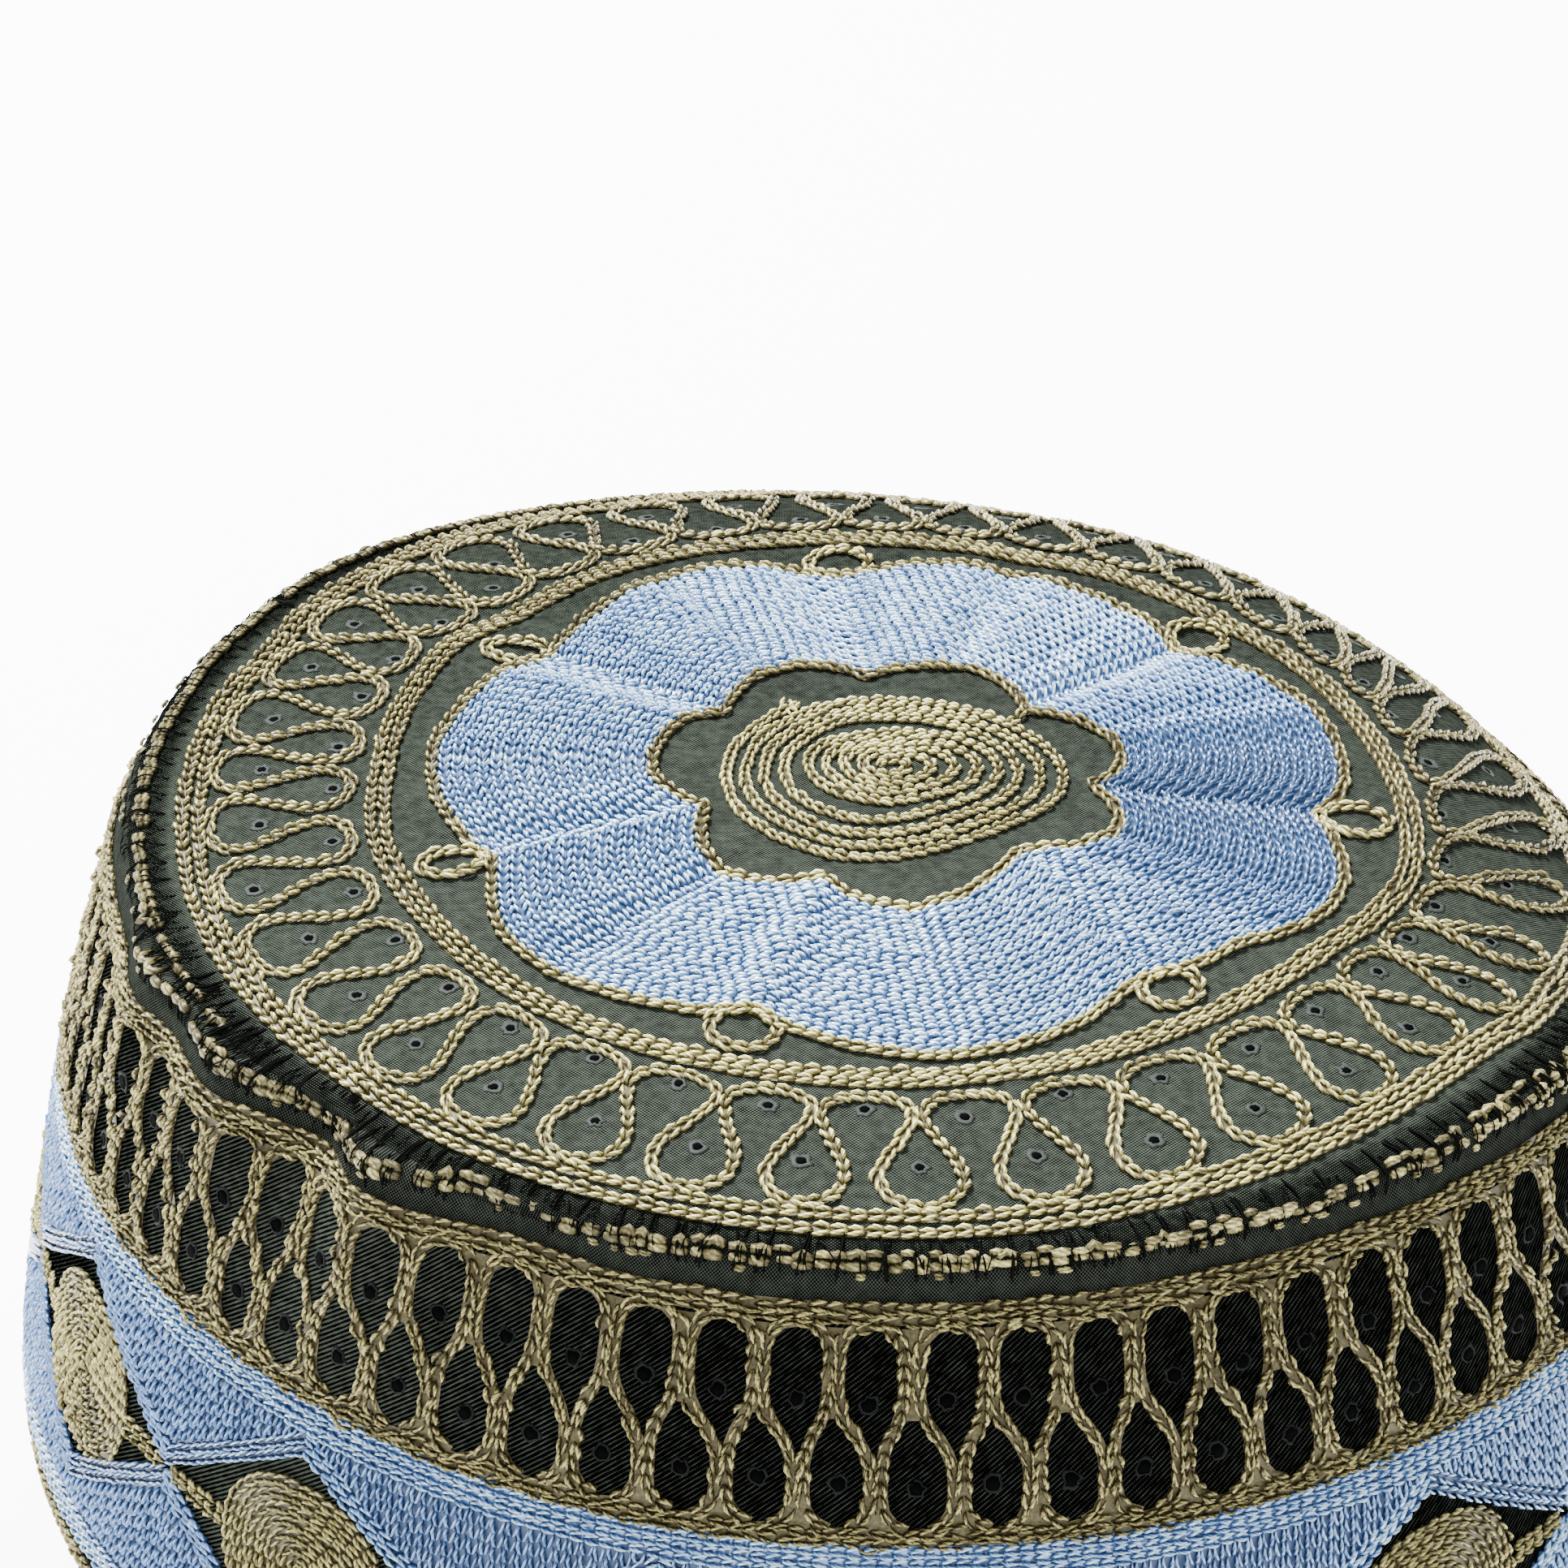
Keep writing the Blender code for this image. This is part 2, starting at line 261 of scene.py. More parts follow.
class Sewing:
    """Collects strands of thread, and makes one mesh of them.

    Each link of chain stitch is two bowed strands that open from the end of the link
    before it. The mesh's stitch attribute holds the place along a strand, the place
    around it, and a tone that is the same all over one link: random, plus the painted
    shade for where the link lies round the cap, where a row is given one.
    """

    # Stations along a link: share of the pitch, sideways share, height share, thickness share
    LINK = np.array([
        (-0.22, 0.04, 0.42, 0.0),
        (0.12, 0.60, 0.75, 1.0),
        (0.48, 0.97, 0.66, 1.15),
        (0.82, 1.00, 0.36, 0.95),
        (1.10, 0.68, 0.00, 0.0),
    ])

    def __init__(self):
        self.points = []
        self.stitch = []
        self.faces = []
        self.count = 0

    def strands(self, middle, normal, thick, tall, tone, sides):
        """Adds strands, given as arrays (strand, station, xyz), each pointed at both ends."""
        strands, stations = middle.shape[:2]
        ahead = unit(np.gradient(middle, axis=1))
        across = unit(np.cross(ahead, normal))
        up = np.cross(across, ahead)
        turns = np.arange(sides) * 2 * pi / sides + pi / 2
        rings = stations - 2
        inner = slice(1, stations - 1)
        out = np.cos(turns)[:, None] * across[:, inner, None] * thick[:, inner, None, None]
        rise = np.sin(turns)[:, None] * up[:, inner, None] * tall[:, inner, None, None]
        ring_points = (middle[:, inner, None] + out + rise).reshape(strands, rings * sides, 3)
        points = np.concatenate([middle[:, :1], ring_points, middle[:, -1:]], 1)
        along = np.linspace(0, 1, stations)
        around = ((turns / pi + 0.5) % 2) - 1
        where = np.zeros((strands, rings * sides + 2, 3))
        where[:, -1, 0] = 1.0
        where[:, 1:-1, 0] = np.repeat(along[inner], sides)
        where[:, 1:-1, 1] = np.tile(around, rings)
        where[:, :, 2] = tone[:, None]
        self.points.append(points.reshape(-1, 3))
        self.stitch.append(where.reshape(-1, 3))
        faces = []
        last = rings * sides + 1
        for i in range(sides):
            j = (i + 1) % sides
            faces.append((0, 1 + j, 1 + i, -1))
            for ring in range(rings - 1):
                low = 1 + ring * sides
                faces.append((low + i, low + j, low + sides + j, low + sides + i))
            low = 1 + (rings - 1) * sides
            faces.append((last, low + i, low + j, -1))
        self.faces.append(repeated(np.array(faces), last + 1, strands, self.count))
        self.count += strands * (last + 1)

    def sheet(self, grid, wrap=True, tone=0.0):
        """Thread that shows between the rows, as a grid of points (row, column, xyz)."""
        rows, columns = grid.shape[:2]
        self.points.append(grid.reshape(-1, 3))
        self.stitch.append(np.tile((0.0, 0.0, tone), (rows * columns, 1)))
        self.faces.append(grid_faces(rows, columns, wrap) + self.count)
        self.count += rows * columns

    def chain(self, path, surface, pitch=USUAL_PITCH, width=USUAL_WIDTH, sides=4, closed=False,
              lift=0.0, loose=1.0, plump=1.0, bed=0.0, bed_tone=0.0, painted_shade=None):
        """A row of chain stitch along a path of the surface's own two coordinates.

        A bed is a strip of thread under the row, given as a share of the row's width.
        A painted shade, if given, shifts each link's tone by where the link lies.
        """
        points, normals = surface(np.asarray(path, float))
        points = points + normals * lift
        if closed:
            points = np.concatenate([points, points[:1]])
            normals = np.concatenate([normals, normals[:1]])
        steps = np.linalg.norm(np.diff(points, axis=0), axis=1)
        place = np.concatenate([[0.0], np.cumsum(steps)])
        length = place[-1]
        count = max(int(round(length / pitch)), 1)
        pitch = length / count

        def scatter(amount):
            return rng.normal(0, amount * loose, (count, 1))

        at = (np.arange(count)[:, None] + self.LINK[None, :, 0]) * pitch
        at = at + scatter(PLACE_SCATTER) * pitch
        if closed:
            at = at % length

        def read(values, where):
            return np.stack([np.interp(where, place, values[:, k]) for k in range(3)], -1)

        if bed:
            where = np.linspace(0, length, count + 1)
            spine = read(points, where)
            up = read(normals, where)
            aside = np.cross(up, np.gradient(spine, axis=0))
            aside *= width * bed / np.linalg.norm(aside, axis=-1, keepdims=True)
            self.sheet(np.stack([spine + aside, spine - aside]) + up * BED_LIFT, False, bed_tone)
        half = pitch * 0.2
        middle = read(points, at)
        normal = read(normals, at)
        before = at - half
        after = at + half
        if closed:
            before = before % length
            after = after % length
        side = np.cross(normal, unit(read(points, after) - read(points, before)))
        across, rise, fat = self.LINK[:, 1], self.LINK[:, 2], self.LINK[:, 3]
        reach = width * STRAND_REACH * (1 + scatter(REACH_SCATTER))
        tops = STITCH_HEIGHT * (1 + scatter(HEIGHT_SCATTER))
        swing = scatter(SWING_SCATTER) * width
        tone = rng.uniform(0, 1, count)
        # Painted shade on the links' tone, by where they lie round the cap
        if painted_shade:
            tone = tone + painted_shade(middle[:, 2])
        thick = plump * width * STRAND_THICK * fat * (1 + scatter(THICK_SCATTER))
        tall = np.broadcast_to(STITCH_HEIGHT * STRAND_TALL * fat, (count, len(fat)))
        for hand in (-1, 1):
            tip = 1 + scatter(HEIGHT_SCATTER)
            sideways = (hand * across * reach * tip + swing)[..., None] * side
            upward = (rise * tops * tip - tops * 0.1)[..., None] * normal
            strand_tone = tone * 0.7 + rng.uniform(0, 0.3, count)
            self.strands(middle + sideways + upward, normal, thick, tall, strand_tone, sides)

    def finish(self, name, material, slot, *nodes):
        """Makes one piece of all the strands."""
        add_piece(name, np.concatenate(self.points), np.concatenate(self.faces), material, slot,
                  *nodes, stitch=np.concatenate(self.stitch))


def make_mesh(name, points, faces, **fields):
    """A mesh in metres from millimetre points and faces of four corners, or three and -1."""
    mesh = bpy.data.meshes.new(name)
    triangle = faces[:, 3] < 0
    sizes = np.where(triangle, 3, 4)
    corners = faces.reshape(-1)
    corners = corners[corners >= 0]
    mesh.vertices.add(len(points))
    mesh.vertices.foreach_set("co", (points * MM).astype(np.float32).ravel())
    mesh.loops.add(len(corners))
    mesh.loops.foreach_set("vertex_index", corners.astype(np.int32))
    mesh.polygons.add(len(faces))
    starts = np.concatenate([[0], np.cumsum(sizes)[:-1]])
    mesh.polygons.foreach_set("loop_start", starts.astype(np.int32))
    mesh.polygons.foreach_set("loop_total", sizes.astype(np.int32))
    mesh.update(calc_edges=True)
    mesh.validate()
    mesh.shade_smooth()
    for field, values in fields.items():
        layer = mesh.attributes.new(field, "FLOAT_VECTOR", "POINT")
        layer.data.foreach_set("vector", values.astype(np.float32).ravel())
    return mesh


def add_object(name, data):
    thing = bpy.data.objects.new(name, data)
    bpy.context.scene.collection.objects.link(thing)
    return thing


def add_piece(name, points, faces, material, slot, *nodes, **fields):
    """One piece of the cap, which may stand for CAD nodes."""
    mesh = make_mesh(name, points, faces, **fields)
    mesh.materials.append(material)
    piece = add_object(name, mesh)
    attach(piece, "root")
    if nodes:
        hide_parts(*nodes)


def grid_faces(rows, columns, wrap=True):
    """Faces of a grid of points, row by row, and joined round the cap if they wrap."""
    across = np.arange(columns if wrap else columns - 1)
    row, column = np.meshgrid(np.arange(rows - 1), across, indexing="ij")
    following = (column + 1) % columns
    low = row * columns
    high = low + columns
    faces = [low + column, high + column, high + following, low + following]
    return np.stack(faces, -1).reshape(-1, 4)


def ring_faces(rows, columns):
    """Faces of a grid that wraps both ways, as a ring does."""
    return grid_faces(rows + 1, columns) % (rows * columns)


def capped_faces(rows, columns):
    """Faces of a grid whose first and last rows each fan in to a middle point, the last two."""
    here = np.arange(columns)
    following = (here + 1) % columns
    last = (rows - 1) * columns
    none = np.full(columns, -1)
    top = np.full(columns, rows * columns)
    upper = np.stack([top, here, following, none], -1)
    lower = np.stack([top + 1, last + following, last + here, none], -1)
    return np.concatenate([grid_faces(rows, columns), upper, lower])


def repeated(faces, size, copies, first=0):
    """The faces of each copy of a small mesh that has that many points."""
    shift = first + np.arange(copies)[:, None, None] * size
    return np.where(faces < 0, -1, faces + shift).reshape(-1, 4)


# Materials
GRAIN_FUZZ = 0.36               # how much a thread's fine grain shows, where nothing else is given
COAT_ROUGHNESS = 0.16
PLAIN_PITCH = 0.42              # from thread to thread of the plain cloth
TWILL_PITCH = 0.62
TWILL_SLOPE = 0.8
SHEEN_PLACE = 386.0              # where a painted sheen makes the wall's cloth lighter, along its way round
SHEEN_REACH = 50.0
SHADE_FADE = 0.6                # how fast painted shade darkens the cloth past a line, for each millimetre
BACK_START = 30.0               # painted shade darkens the top slowly towards its back from here
BACK_FADE = 0.0018


def set_inputs(node, **values):
    """Sets a node's inputs, named with underscores for their spaces."""
    for name, value in values.items():
        node.inputs[name.replace("_", " ")].default_value = value


class Nodes:
    """Short helpers for building one material."""

    def __init__(self, name):
        self.material = bpy.data.materials.new(name)
        self.material.use_nodes = True
        self.tree = self.material.node_tree
        self.shader = self.tree.nodes["Principled BSDF"]

    def new(self, kind, **values):
        node = self.tree.nodes.new(kind)
        set_inputs(node, **values)
        return node

    def link(self, value, socket):
        if isinstance(value, bpy.types.NodeSocket):
            self.tree.links.new(value, socket)
        else:
            socket.default_value = value

    def math(self, operation, *values, clamp=False):
        node = self.new("ShaderNodeMath")
        node.operation = operation
        node.use_clamp = clamp
        for value, socket in zip(values, node.inputs):
            self.link(value, socket)
        return node.outputs[0]

    def add(self, first, second):
        return self.math("ADD", first, second)

    def less(self, first, second, clamp=False):
        return self.math("SUBTRACT", first, second, clamp=clamp)

    def times(self, first, second, clamp=False):
        return self.math("MULTIPLY", first, second, clamp=clamp)

    def wave(self, value, period):
        """A sine of a value, with that period."""
        return self.math("SINE", self.times(value, 2 * pi / period))

    def split(self, vector):
        node = self.new("ShaderNodeSeparateXYZ")
        self.link(vector, node.inputs[0])
        return node.outputs

    def field(self, name):
        """The three numbers of a mesh attribute."""
        node = self.new("ShaderNodeAttribute")
        node.attribute_name = name
        return self.split(node.outputs["Vector"])

    def place(self):
        """The place on the object, in its own coordinates."""
        return self.new("ShaderNodeTexCoord").outputs["Object"]

    def noise(self, scale, roughness=0.5):
        node = self.new("ShaderNodeTexNoise", Scale=scale, Detail=3.0, Roughness=roughness)
        self.link(self.place(), node.inputs["Vector"])
        return node.outputs["Fac"]

    def colour(self, value, *stops):
        """Colours the surface by a value, from stop to stop."""
        node = self.new("ShaderNodeValToRGB")
        elements = node.color_ramp.elements
        while len(elements) < len(stops):
            elements.new(0.5)
        for element, (place, colour) in zip(elements, stops):
            element.position = place
            element.color = (*colour, 1.0)
        self.link(value, node.inputs[0])
        self.link(node.outputs["Color"], self.shader.inputs["Base Color"])

    def bump(self, height, distance, strength=1.0):
        node = self.new("ShaderNodeBump", Strength=strength, Distance=distance)
        self.link(height, node.inputs["Height"])
        self.link(node.outputs["Normal"], self.shader.inputs["Normal"])


def woven_material(name, dark, light, shaded_from, shading, radial=True):
    """Cotton, plain on the top and twilled on the wall, drawn by the mesh's weave attribute.

    It has painted shade past shaded_from: a radius on the top, or a way down the wall.
    The top also has painted shade towards its back, the wall a painted sheen part of the way
    round, and the weave's light colour is partly painted sheen.
    """
    nodes = Nodes(name)
    x, y, _ = nodes.field("weave")
    crossing = nodes.times(nodes.wave(x, PLAIN_PITCH), nodes.wave(y, PLAIN_PITCH))
    reach = y
    if radial:
        reach = nodes.math("SQRT", nodes.add(nodes.times(x, x), nodes.times(y, y)))
    # Painted shade past shaded_from
    shade = nodes.times(nodes.less(reach, shaded_from), SHADE_FADE, True)
    if not radial:
        twill = nodes.wave(nodes.add(nodes.times(x, TWILL_SLOPE), y), TWILL_PITCH)
        plain = nodes.times(crossing, nodes.less(1.35, shade))
        crossing = nodes.add(nodes.times(nodes.times(twill, 0.65), shade), plain)
    bumps = nodes.math("MULTIPLY_ADD", crossing, 0.5, 0.5)
    mottled = nodes.math("MULTIPLY_ADD", nodes.less(nodes.noise(900.0), 0.5), 0.55, bumps)
    # On the top, painted shade towards its back
    if radial:
        mottled = nodes.less(mottled, nodes.times(nodes.add(y, BACK_START), BACK_FADE, True))
    else:
        # A painted sheen lifts the wall's painted shade part of the way round
        off = nodes.math("ABSOLUTE", nodes.less(x, SHEEN_PLACE))
        painted_sheen = nodes.less(1.0, nodes.math("DIVIDE", off, SHEEN_REACH), True)
        shade = nodes.times(shade, nodes.less(1.0, painted_sheen))
    mottled = nodes.less(mottled, nodes.times(shade, shading))
    nodes.colour(mottled, (0.30, dark), (0.85, light))
    # No specular reflection: the cloth's sheen is painted into the light colour of its weave
    set_inputs(nodes.shader, Roughness=0.58, Specular_IOR_Level=0.0,
               Specular_Tint=(0.84, 1.0, 0.84, 1.0))
    nodes.bump(bumps, 0.00012)
    return nodes.material


def thread_material(name, deep, middle, bright, roughness, glint, specular=0.35, fuzz=GRAIN_FUZZ,
                    coat=0.0):
    """Silky thread: twisted fibres along each strand, and links that differ in tone.
    Each strand is painted lighter on its top and middle, up to a painted highlight, and darker
    on its sides and ends, as painted shade.
    """
    nodes = Nodes(name)
    along, around, tone = nodes.field("stitch")
    fibres = nodes.wave(nodes.add(nodes.times(along, 3.0), nodes.times(around, 2.0)), 1.0)
    # Painted highlight on each strand's top and middle, painted shade on its sides and ends
    on_top = nodes.less(1.0, nodes.math("ABSOLUTE", around))
    spread = nodes.times(nodes.times(on_top, nodes.wave(along, 2.0)), 0.50)
    for part, amount in ((tone, 0.20), (nodes.noise(2600.0, 0.6), fuzz), (fibres, 0.10)):
        spread = nodes.add(spread, nodes.times(part, amount))
    spread = nodes.less(spread, (fuzz - GRAIN_FUZZ) / 2)
    nodes.colour(spread, (0.26, deep), (0.54, middle), (0.86, bright))
    set_inputs(nodes.shader, Roughness=roughness, Specular_IOR_Level=specular,
               Specular_Tint=(*glint, 1.0), Anisotropic=0.4, Coat_Weight=coat,
               Coat_Roughness=COAT_ROUGHNESS)
    nodes.bump(fibres, 0.00004, 0.7)
    return nodes.material


def plain_material(name, colour, roughness, specular, bump=0.0, scale=800.0):
    """A small part's material with a fine uneven surface."""
    nodes = Nodes(name)
    grain = nodes.noise(scale)
    nodes.colour(grain, (0.3, tuple(c * 0.6 for c in colour)), (0.7, colour))
    set_inputs(nodes.shader, Roughness=roughness, Specular_IOR_Level=specular)
    if bump:
        nodes.bump(grain, bump)
    return nodes.material


GOLD_GLINT = (1.0, 0.96, 0.70)
# Painted shade darkens the top's cloth past radius 81.8, by the seam, and the wall's from 10 mm
# down.
# The cotton is black: the light colour of its weave is partly its threads and partly painted sheen.
crown_cotton = woven_material(
    "crown_cotton", (0.001, 0.0012, 0.0009), (0.057, 0.069, 0.055), 81.8, 0.27)
wall_cotton = woven_material(
    "wall_cotton", (0.0004, 0.0005, 0.0004), (0.036, 0.042, 0.034), 10.0, 0.36, False)
gold_thread = thread_material(
    "gold_silk", (0.036, 0.028, 0.009), (0.150, 0.127, 0.042), (0.78, 0.73, 0.27), 0.36,
    GOLD_GLINT, 0.5, coat=0.4)
# A copy of the gold thread for the wall's lattice and hem rows: fuzzier and rougher, and darker by
# painted shade
side_gold = thread_material(
    "gold_silk_fuzz_and_shade", (0.010, 0.007, 0.002), (0.058, 0.047, 0.017), (0.46, 0.41, 0.165), 0.50,
    GOLD_GLINT, fuzz=0.85)
leaf_gold = thread_material(
    "leaf_silk", (0.026, 0.021, 0.007), (0.114, 0.098, 0.037), (0.54, 0.49, 0.20), 0.46,
    GOLD_GLINT, fuzz=0.60)
blue_thread = thread_material(
    "blue_silk", (0.022, 0.058, 0.145), (0.076, 0.178, 0.41), (0.70, 0.95, 1.0), 0.30,
    (0.94, 1.0, 1.0), 0.6, coat=0.9)
# A copy of the blue thread for the wall's fill: rougher, and darker by painted shade
side_blue = thread_material(
    "blue_silk_painted_shade", (0.012, 0.031, 0.085), (0.064, 0.132, 0.29), (0.38, 0.54, 0.76), 0.42,
    (0.90, 0.96, 1.0))
black_thread = plain_material("black_thread", (0.004, 0.0045, 0.004), 0.9, 0.0, 0.00004, 3000.0)
# Near-black discs in the eyelets' holes: painted shade for the holes' insides
hole_dark = plain_material("eyelet_hole", (0.0005, 0.0005, 0.0005), 0.9, 0.02)
eyelet_rim = plain_material("eyelet_rim", (0.028, 0.034, 0.031), 0.6, 0.08, 0.0001, 1500.0)
wall_rim = plain_material("wall_eyelet_rim", (0.003, 0.004, 0.004), 0.6, 0.06, 0.0001, 1500.0)


# The cloth
CROWN_RINGS = 36
CROWN_SEGMENTS = 216
WALL_ROWS = 44
WALL_SEGMENTS = 240
WEAVE_RADIUS = 97.0             # turns an angle into a way round the wall


def build_crown_cloth():
    """The top's cloth: its upper side, its edge under the cord, and its inner side."""
    angles = np.arange(CROWN_SEGMENTS) * 360 / CROWN_SEGMENTS
    radii = np.linspace(1.2, SEAM_RADIUS + 0.3, CROWN_RINGS)
    upper = crown_point(radii[:, None], angles[None, :])
    lower = upper[::-1].copy()
    lower[..., 2] -= CLOTH
    centres = np.array([(0, 0, CAP_HEIGHT), (0, 0, CAP_HEIGHT - CLOTH)])
    points = np.concatenate([upper.reshape(-1, 3), lower.reshape(-1, 3), centres])
    weave = points.copy()
    low = np.hypot(lower[..., 0], lower[..., 1])
    folded = polar(2 * radii[-1] + CLOTH - low, angles[None, :])
    weave[upper.size // 3:-2, :2] = folded.reshape(-1, 2)
    faces = capped_faces(2 * CROWN_RINGS, CROWN_SEGMENTS)
    add_piece("crown_cloth", points, faces, crown_cotton, "black_cloth", "crown_panel", weave=weave)


def build_wall_cloth():
    """The wall's cloth from the cord down to the turned hem, as one closed sheet."""
    angles = np.arange(WALL_SEGMENTS) * 360 / WALL_SEGMENTS
    heights = np.linspace(seam_height() - 0.2, 0.0, WALL_ROWS)
    outer = wall_point(heights[:, None], angles[None, :])
    inward = -polar(1.0, angles)[None]
    inner = outer[::-1].copy()
    depth = np.where(heights[::-1] < HEM_HEIGHT, HEM_CLOTH, CLOTH)[:, None, None]
    inner[..., :2] += inward * depth
    points = np.concatenate([outer, inner]).reshape(-1, 3)
    faces = ring_faces(2 * WALL_ROWS, WALL_SEGMENTS)
    downs = np.interp(heights[::-1], wall_levels[::-1], wall_downs[::-1])[::-1]
    down, around = np.meshgrid(downs, angles * radians(WEAVE_RADIUS), indexing="ij")
    sheet = np.stack([around, down, down * 0], -1)
    weave = np.concatenate([sheet, sheet[::-1]]).reshape(-1, 3)
    add_piece("wall_cloth", points, faces, wall_cotton, "black_cloth", "side_band", "hem_band",
              weave=weave)


# The top's pattern
INNER_PETALS = (
    # a notch's angle and radius, and radii at 1, 3, 5, 7 and 9 tenths of the way to the next notch
    (41.5, 21.5, 23.0, 25.1, 25.7, 24.4, 22.5),
    (96.5, 21.1, 23.2, 25.3, 25.9, 25.1, 23.35),
    (147.0, 22.6, 25.0, 26.5, 26.85, 26.4, 23.75),
    (201.0, 21.6, 23.3, 25.85, 27.65, 27.15, 24.35),
    (253.5, 23.15, 25.1, 27.6, 27.1, 24.7, 22.3),
    (314.0, 21.65, 22.9, 25.7, 27.8, 27.35, 24.6),
    (357.0, 23.45, 25.7, 27.45, 27.3, 25.9, 23.25),
)
OUTER_PETALS = (
    (41.5, 46.2, 47.7, 49.8, 50.5, 50.55, 48.25),
    (97.0, 45.9, 48.6, 52.0, 52.7, 51.4, 48.7),
    (146.5, 47.5, 49.9, 51.7, 52.3, 51.45, 49.15),
    (203.0, 47.8, 49.8, 53.5, 54.2, 53.0, 51.0),
    (253.5, 49.3, 51.2, 54.05, 54.7, 52.7, 49.3),
    (306.5, 47.9, 49.4, 50.5, 54.2, 54.2, 50.8),
    (355.0, 49.1, 51.95, 53.4, 53.3, 51.7, 48.25),
)
FLOWER_ROWS = 16
GOLD_PAINTED_SHADE = (
    # angle, shift of the gold thread's tone by painted shade, with a little painted light at the
    # front
    (0, -1.2), (30, -1.2), (60, -0.9), (90, -0.9), (120, -1.1), (150, -0.9), (190, -0.6),
    (225, -0.1), (260, 0.2), (310, 0.1), (335, -0.6),
)
# Where painted shade darkens the blue thread: the middle angle, the reach in degrees and the drop
# of its tone
RIGHT_PETAL_SHADE = (-2.0, 26.0, 3.0)
LEFT_WALL_SHADE = (190.0, 45.0, 0.8)
LEFT_EDGE_SHADE = (190.0, 45.0, 1.76)
NOTCH_LOOPS = (
    # middle's angle and radius, size outward, size sideways, lean of the outer end
    (42.2, 50.4, 3.35, 3.4, 0.0), (96.5, 49.95, 3.5, 3.6, 0.0), (147.3, 51.6, 3.8, 2.3, 1.2),
    (201.3, 51.9, 3.8, 2.8, 0.0), (252.9, 52.8, 3.3, 3.65, 0.0), (306.7, 51.05, 3.0, 3.4, 0.0),
    (353.7, 53.4, 4.0, 3.2, 0.0),
)
INNER_RING_RADIUS = 58.2
INNER_WOBBLE = (
    # angle, outward shift
    (3, 0.7), (13, -0.3), (23, -0.9), (32, -1.4), (42, -2.3), (62, -2.0), (72, -2.6), (92, -1.7),
    (102, -1.0), (121, 0.0), (131, -0.3), (141, -0.95), (150, 1.0), (160, 0.3), (180, -0.4),
    (195, 0.4), (210, 0.3), (231, 0.9), (264, 0.5), (285, -0.35), (305, -1.2), (325, -0.8),
    (335, 1.2), (344, 2.3), (354, 1.7),
)
OUTER_WOBBLE = (
    (40, -0.4), (100, -0.4), (130, 0.3), (140, -0.3), (145, -0.6), (150, -0.4), (154, -1.0),
    (158, -1.9), (165, -0.9), (175, -1.1), (185, -1.1), (200, -0.5), (210, -0.1), (220, 0.2),
    (230, 0.6), (240, 0.9), (250, 1.0), (270, 1.0), (280, 0.8), (290, 0.0), (300, -0.7),
    (310, -1.2), (320, -1.4), (325, -1.2), (330, -0.3), (336, -0.1), (350, 0.0),
)
OUTER_GAP = (
    # angle, distance between the outer ring's two rows
    (60, 1.9), (150, 1.9), (222, 1.9), (236, 2.3), (282, 2.35), (296, 2.0), (340, 1.9),
)
SPIRAL_CORE = (0.0, 1.5)
SPIRAL_START = 128.0            # the angle of its outer end
SPIRAL_TURNS = 8.15
SPIRAL_RADIUS = 19.3
SPIRAL_STEP = 2.26
SPIRAL_SHAPE = (
    # angle round the core, share of the radius in the outer turns, and in the inner turns
    (0, 1.13, 1.20), (15, 1.07, 1.13), (30, 0.99, 1.00), (60, 0.88, 0.72), (90, 0.82, 0.58),
    (120, 0.86, 0.66), (135, 0.86, 0.74), (150, 0.885, 0.84), (180, 0.955, 0.90),
    (210, 1.035, 0.88), (240, 1.07, 0.85), (255, 1.085, 0.84), (270, 1.05, 0.84),
    (285, 1.00, 0.83), (300, 0.97, 0.85), (315, 0.99, 0.92), (330, 1.055, 1.02), (345, 1.12, 1.13),
)
SPIRAL_OUTER = 3.0              # turns, from the outside, where the inner shape starts to come in
SPIRAL_INNER = 4.3
SPIRAL_TAIL = ((18.8, 128.0), (17.4, 130.5), (16.0, 131.0))     # radius, angle
SPIRAL_BRIDGE = ((17.6, 36.5), (19.6, 38.5), (21.4, 41.5))
PETAL_SHARES = (0.0, 0.1, 0.3, 0.5, 0.7, 0.9, 1.0)


def outline(petals):
    """A closed flower outline, petal by petal."""
    across = np.linspace(0, 1, 60, endpoint=False)
    parts = []
    for row, following in zip(petals, petals[1:] + petals[:1]):
        turn = row[0] + ((following[0] - row[0]) % 360) * across
        radius = smooth(list(zip(PETAL_SHARES, row[1:] + following[1:2])), across)
        parts.append(polar(radius, turn))
    return np.concatenate(parts)


inner_outline = outline(INNER_PETALS)
outer_outline = outline(OUTER_PETALS)


def ring_path(radius, wobble):
    angles = np.arange(720, 0, -1) / 2
    return polar(radius + round_the_cap(wobble, angles), angles)


def lifted(surface, plan):
    """Points a little above a surface, for a grid of its own two coordinates."""
    points, normals = surface(plan.reshape(-1, 2))
    return (points + normals * BED_LIFT).reshape(*plan.shape[:2], 3)


def gold_painted_shade(points):
    """The painted shade on the gold thread: the shift of its tone at each place round the top."""
    return round_the_cap(GOLD_PAINTED_SHADE, turn_of(points[:, 0], points[:, 1]))


def blue_painted_shade(shade_spot):
    """Makes a function that gives the painted shade on the blue thread: the shift of its tone at
    each place.
    """
    middle, reach, drop = shade_spot

    def read(points):
        off = turn_from(middle, turn_of(points[:, 0], points[:, 1]))
        return -drop * np.exp(-(off / reach) ** 2)

    return read


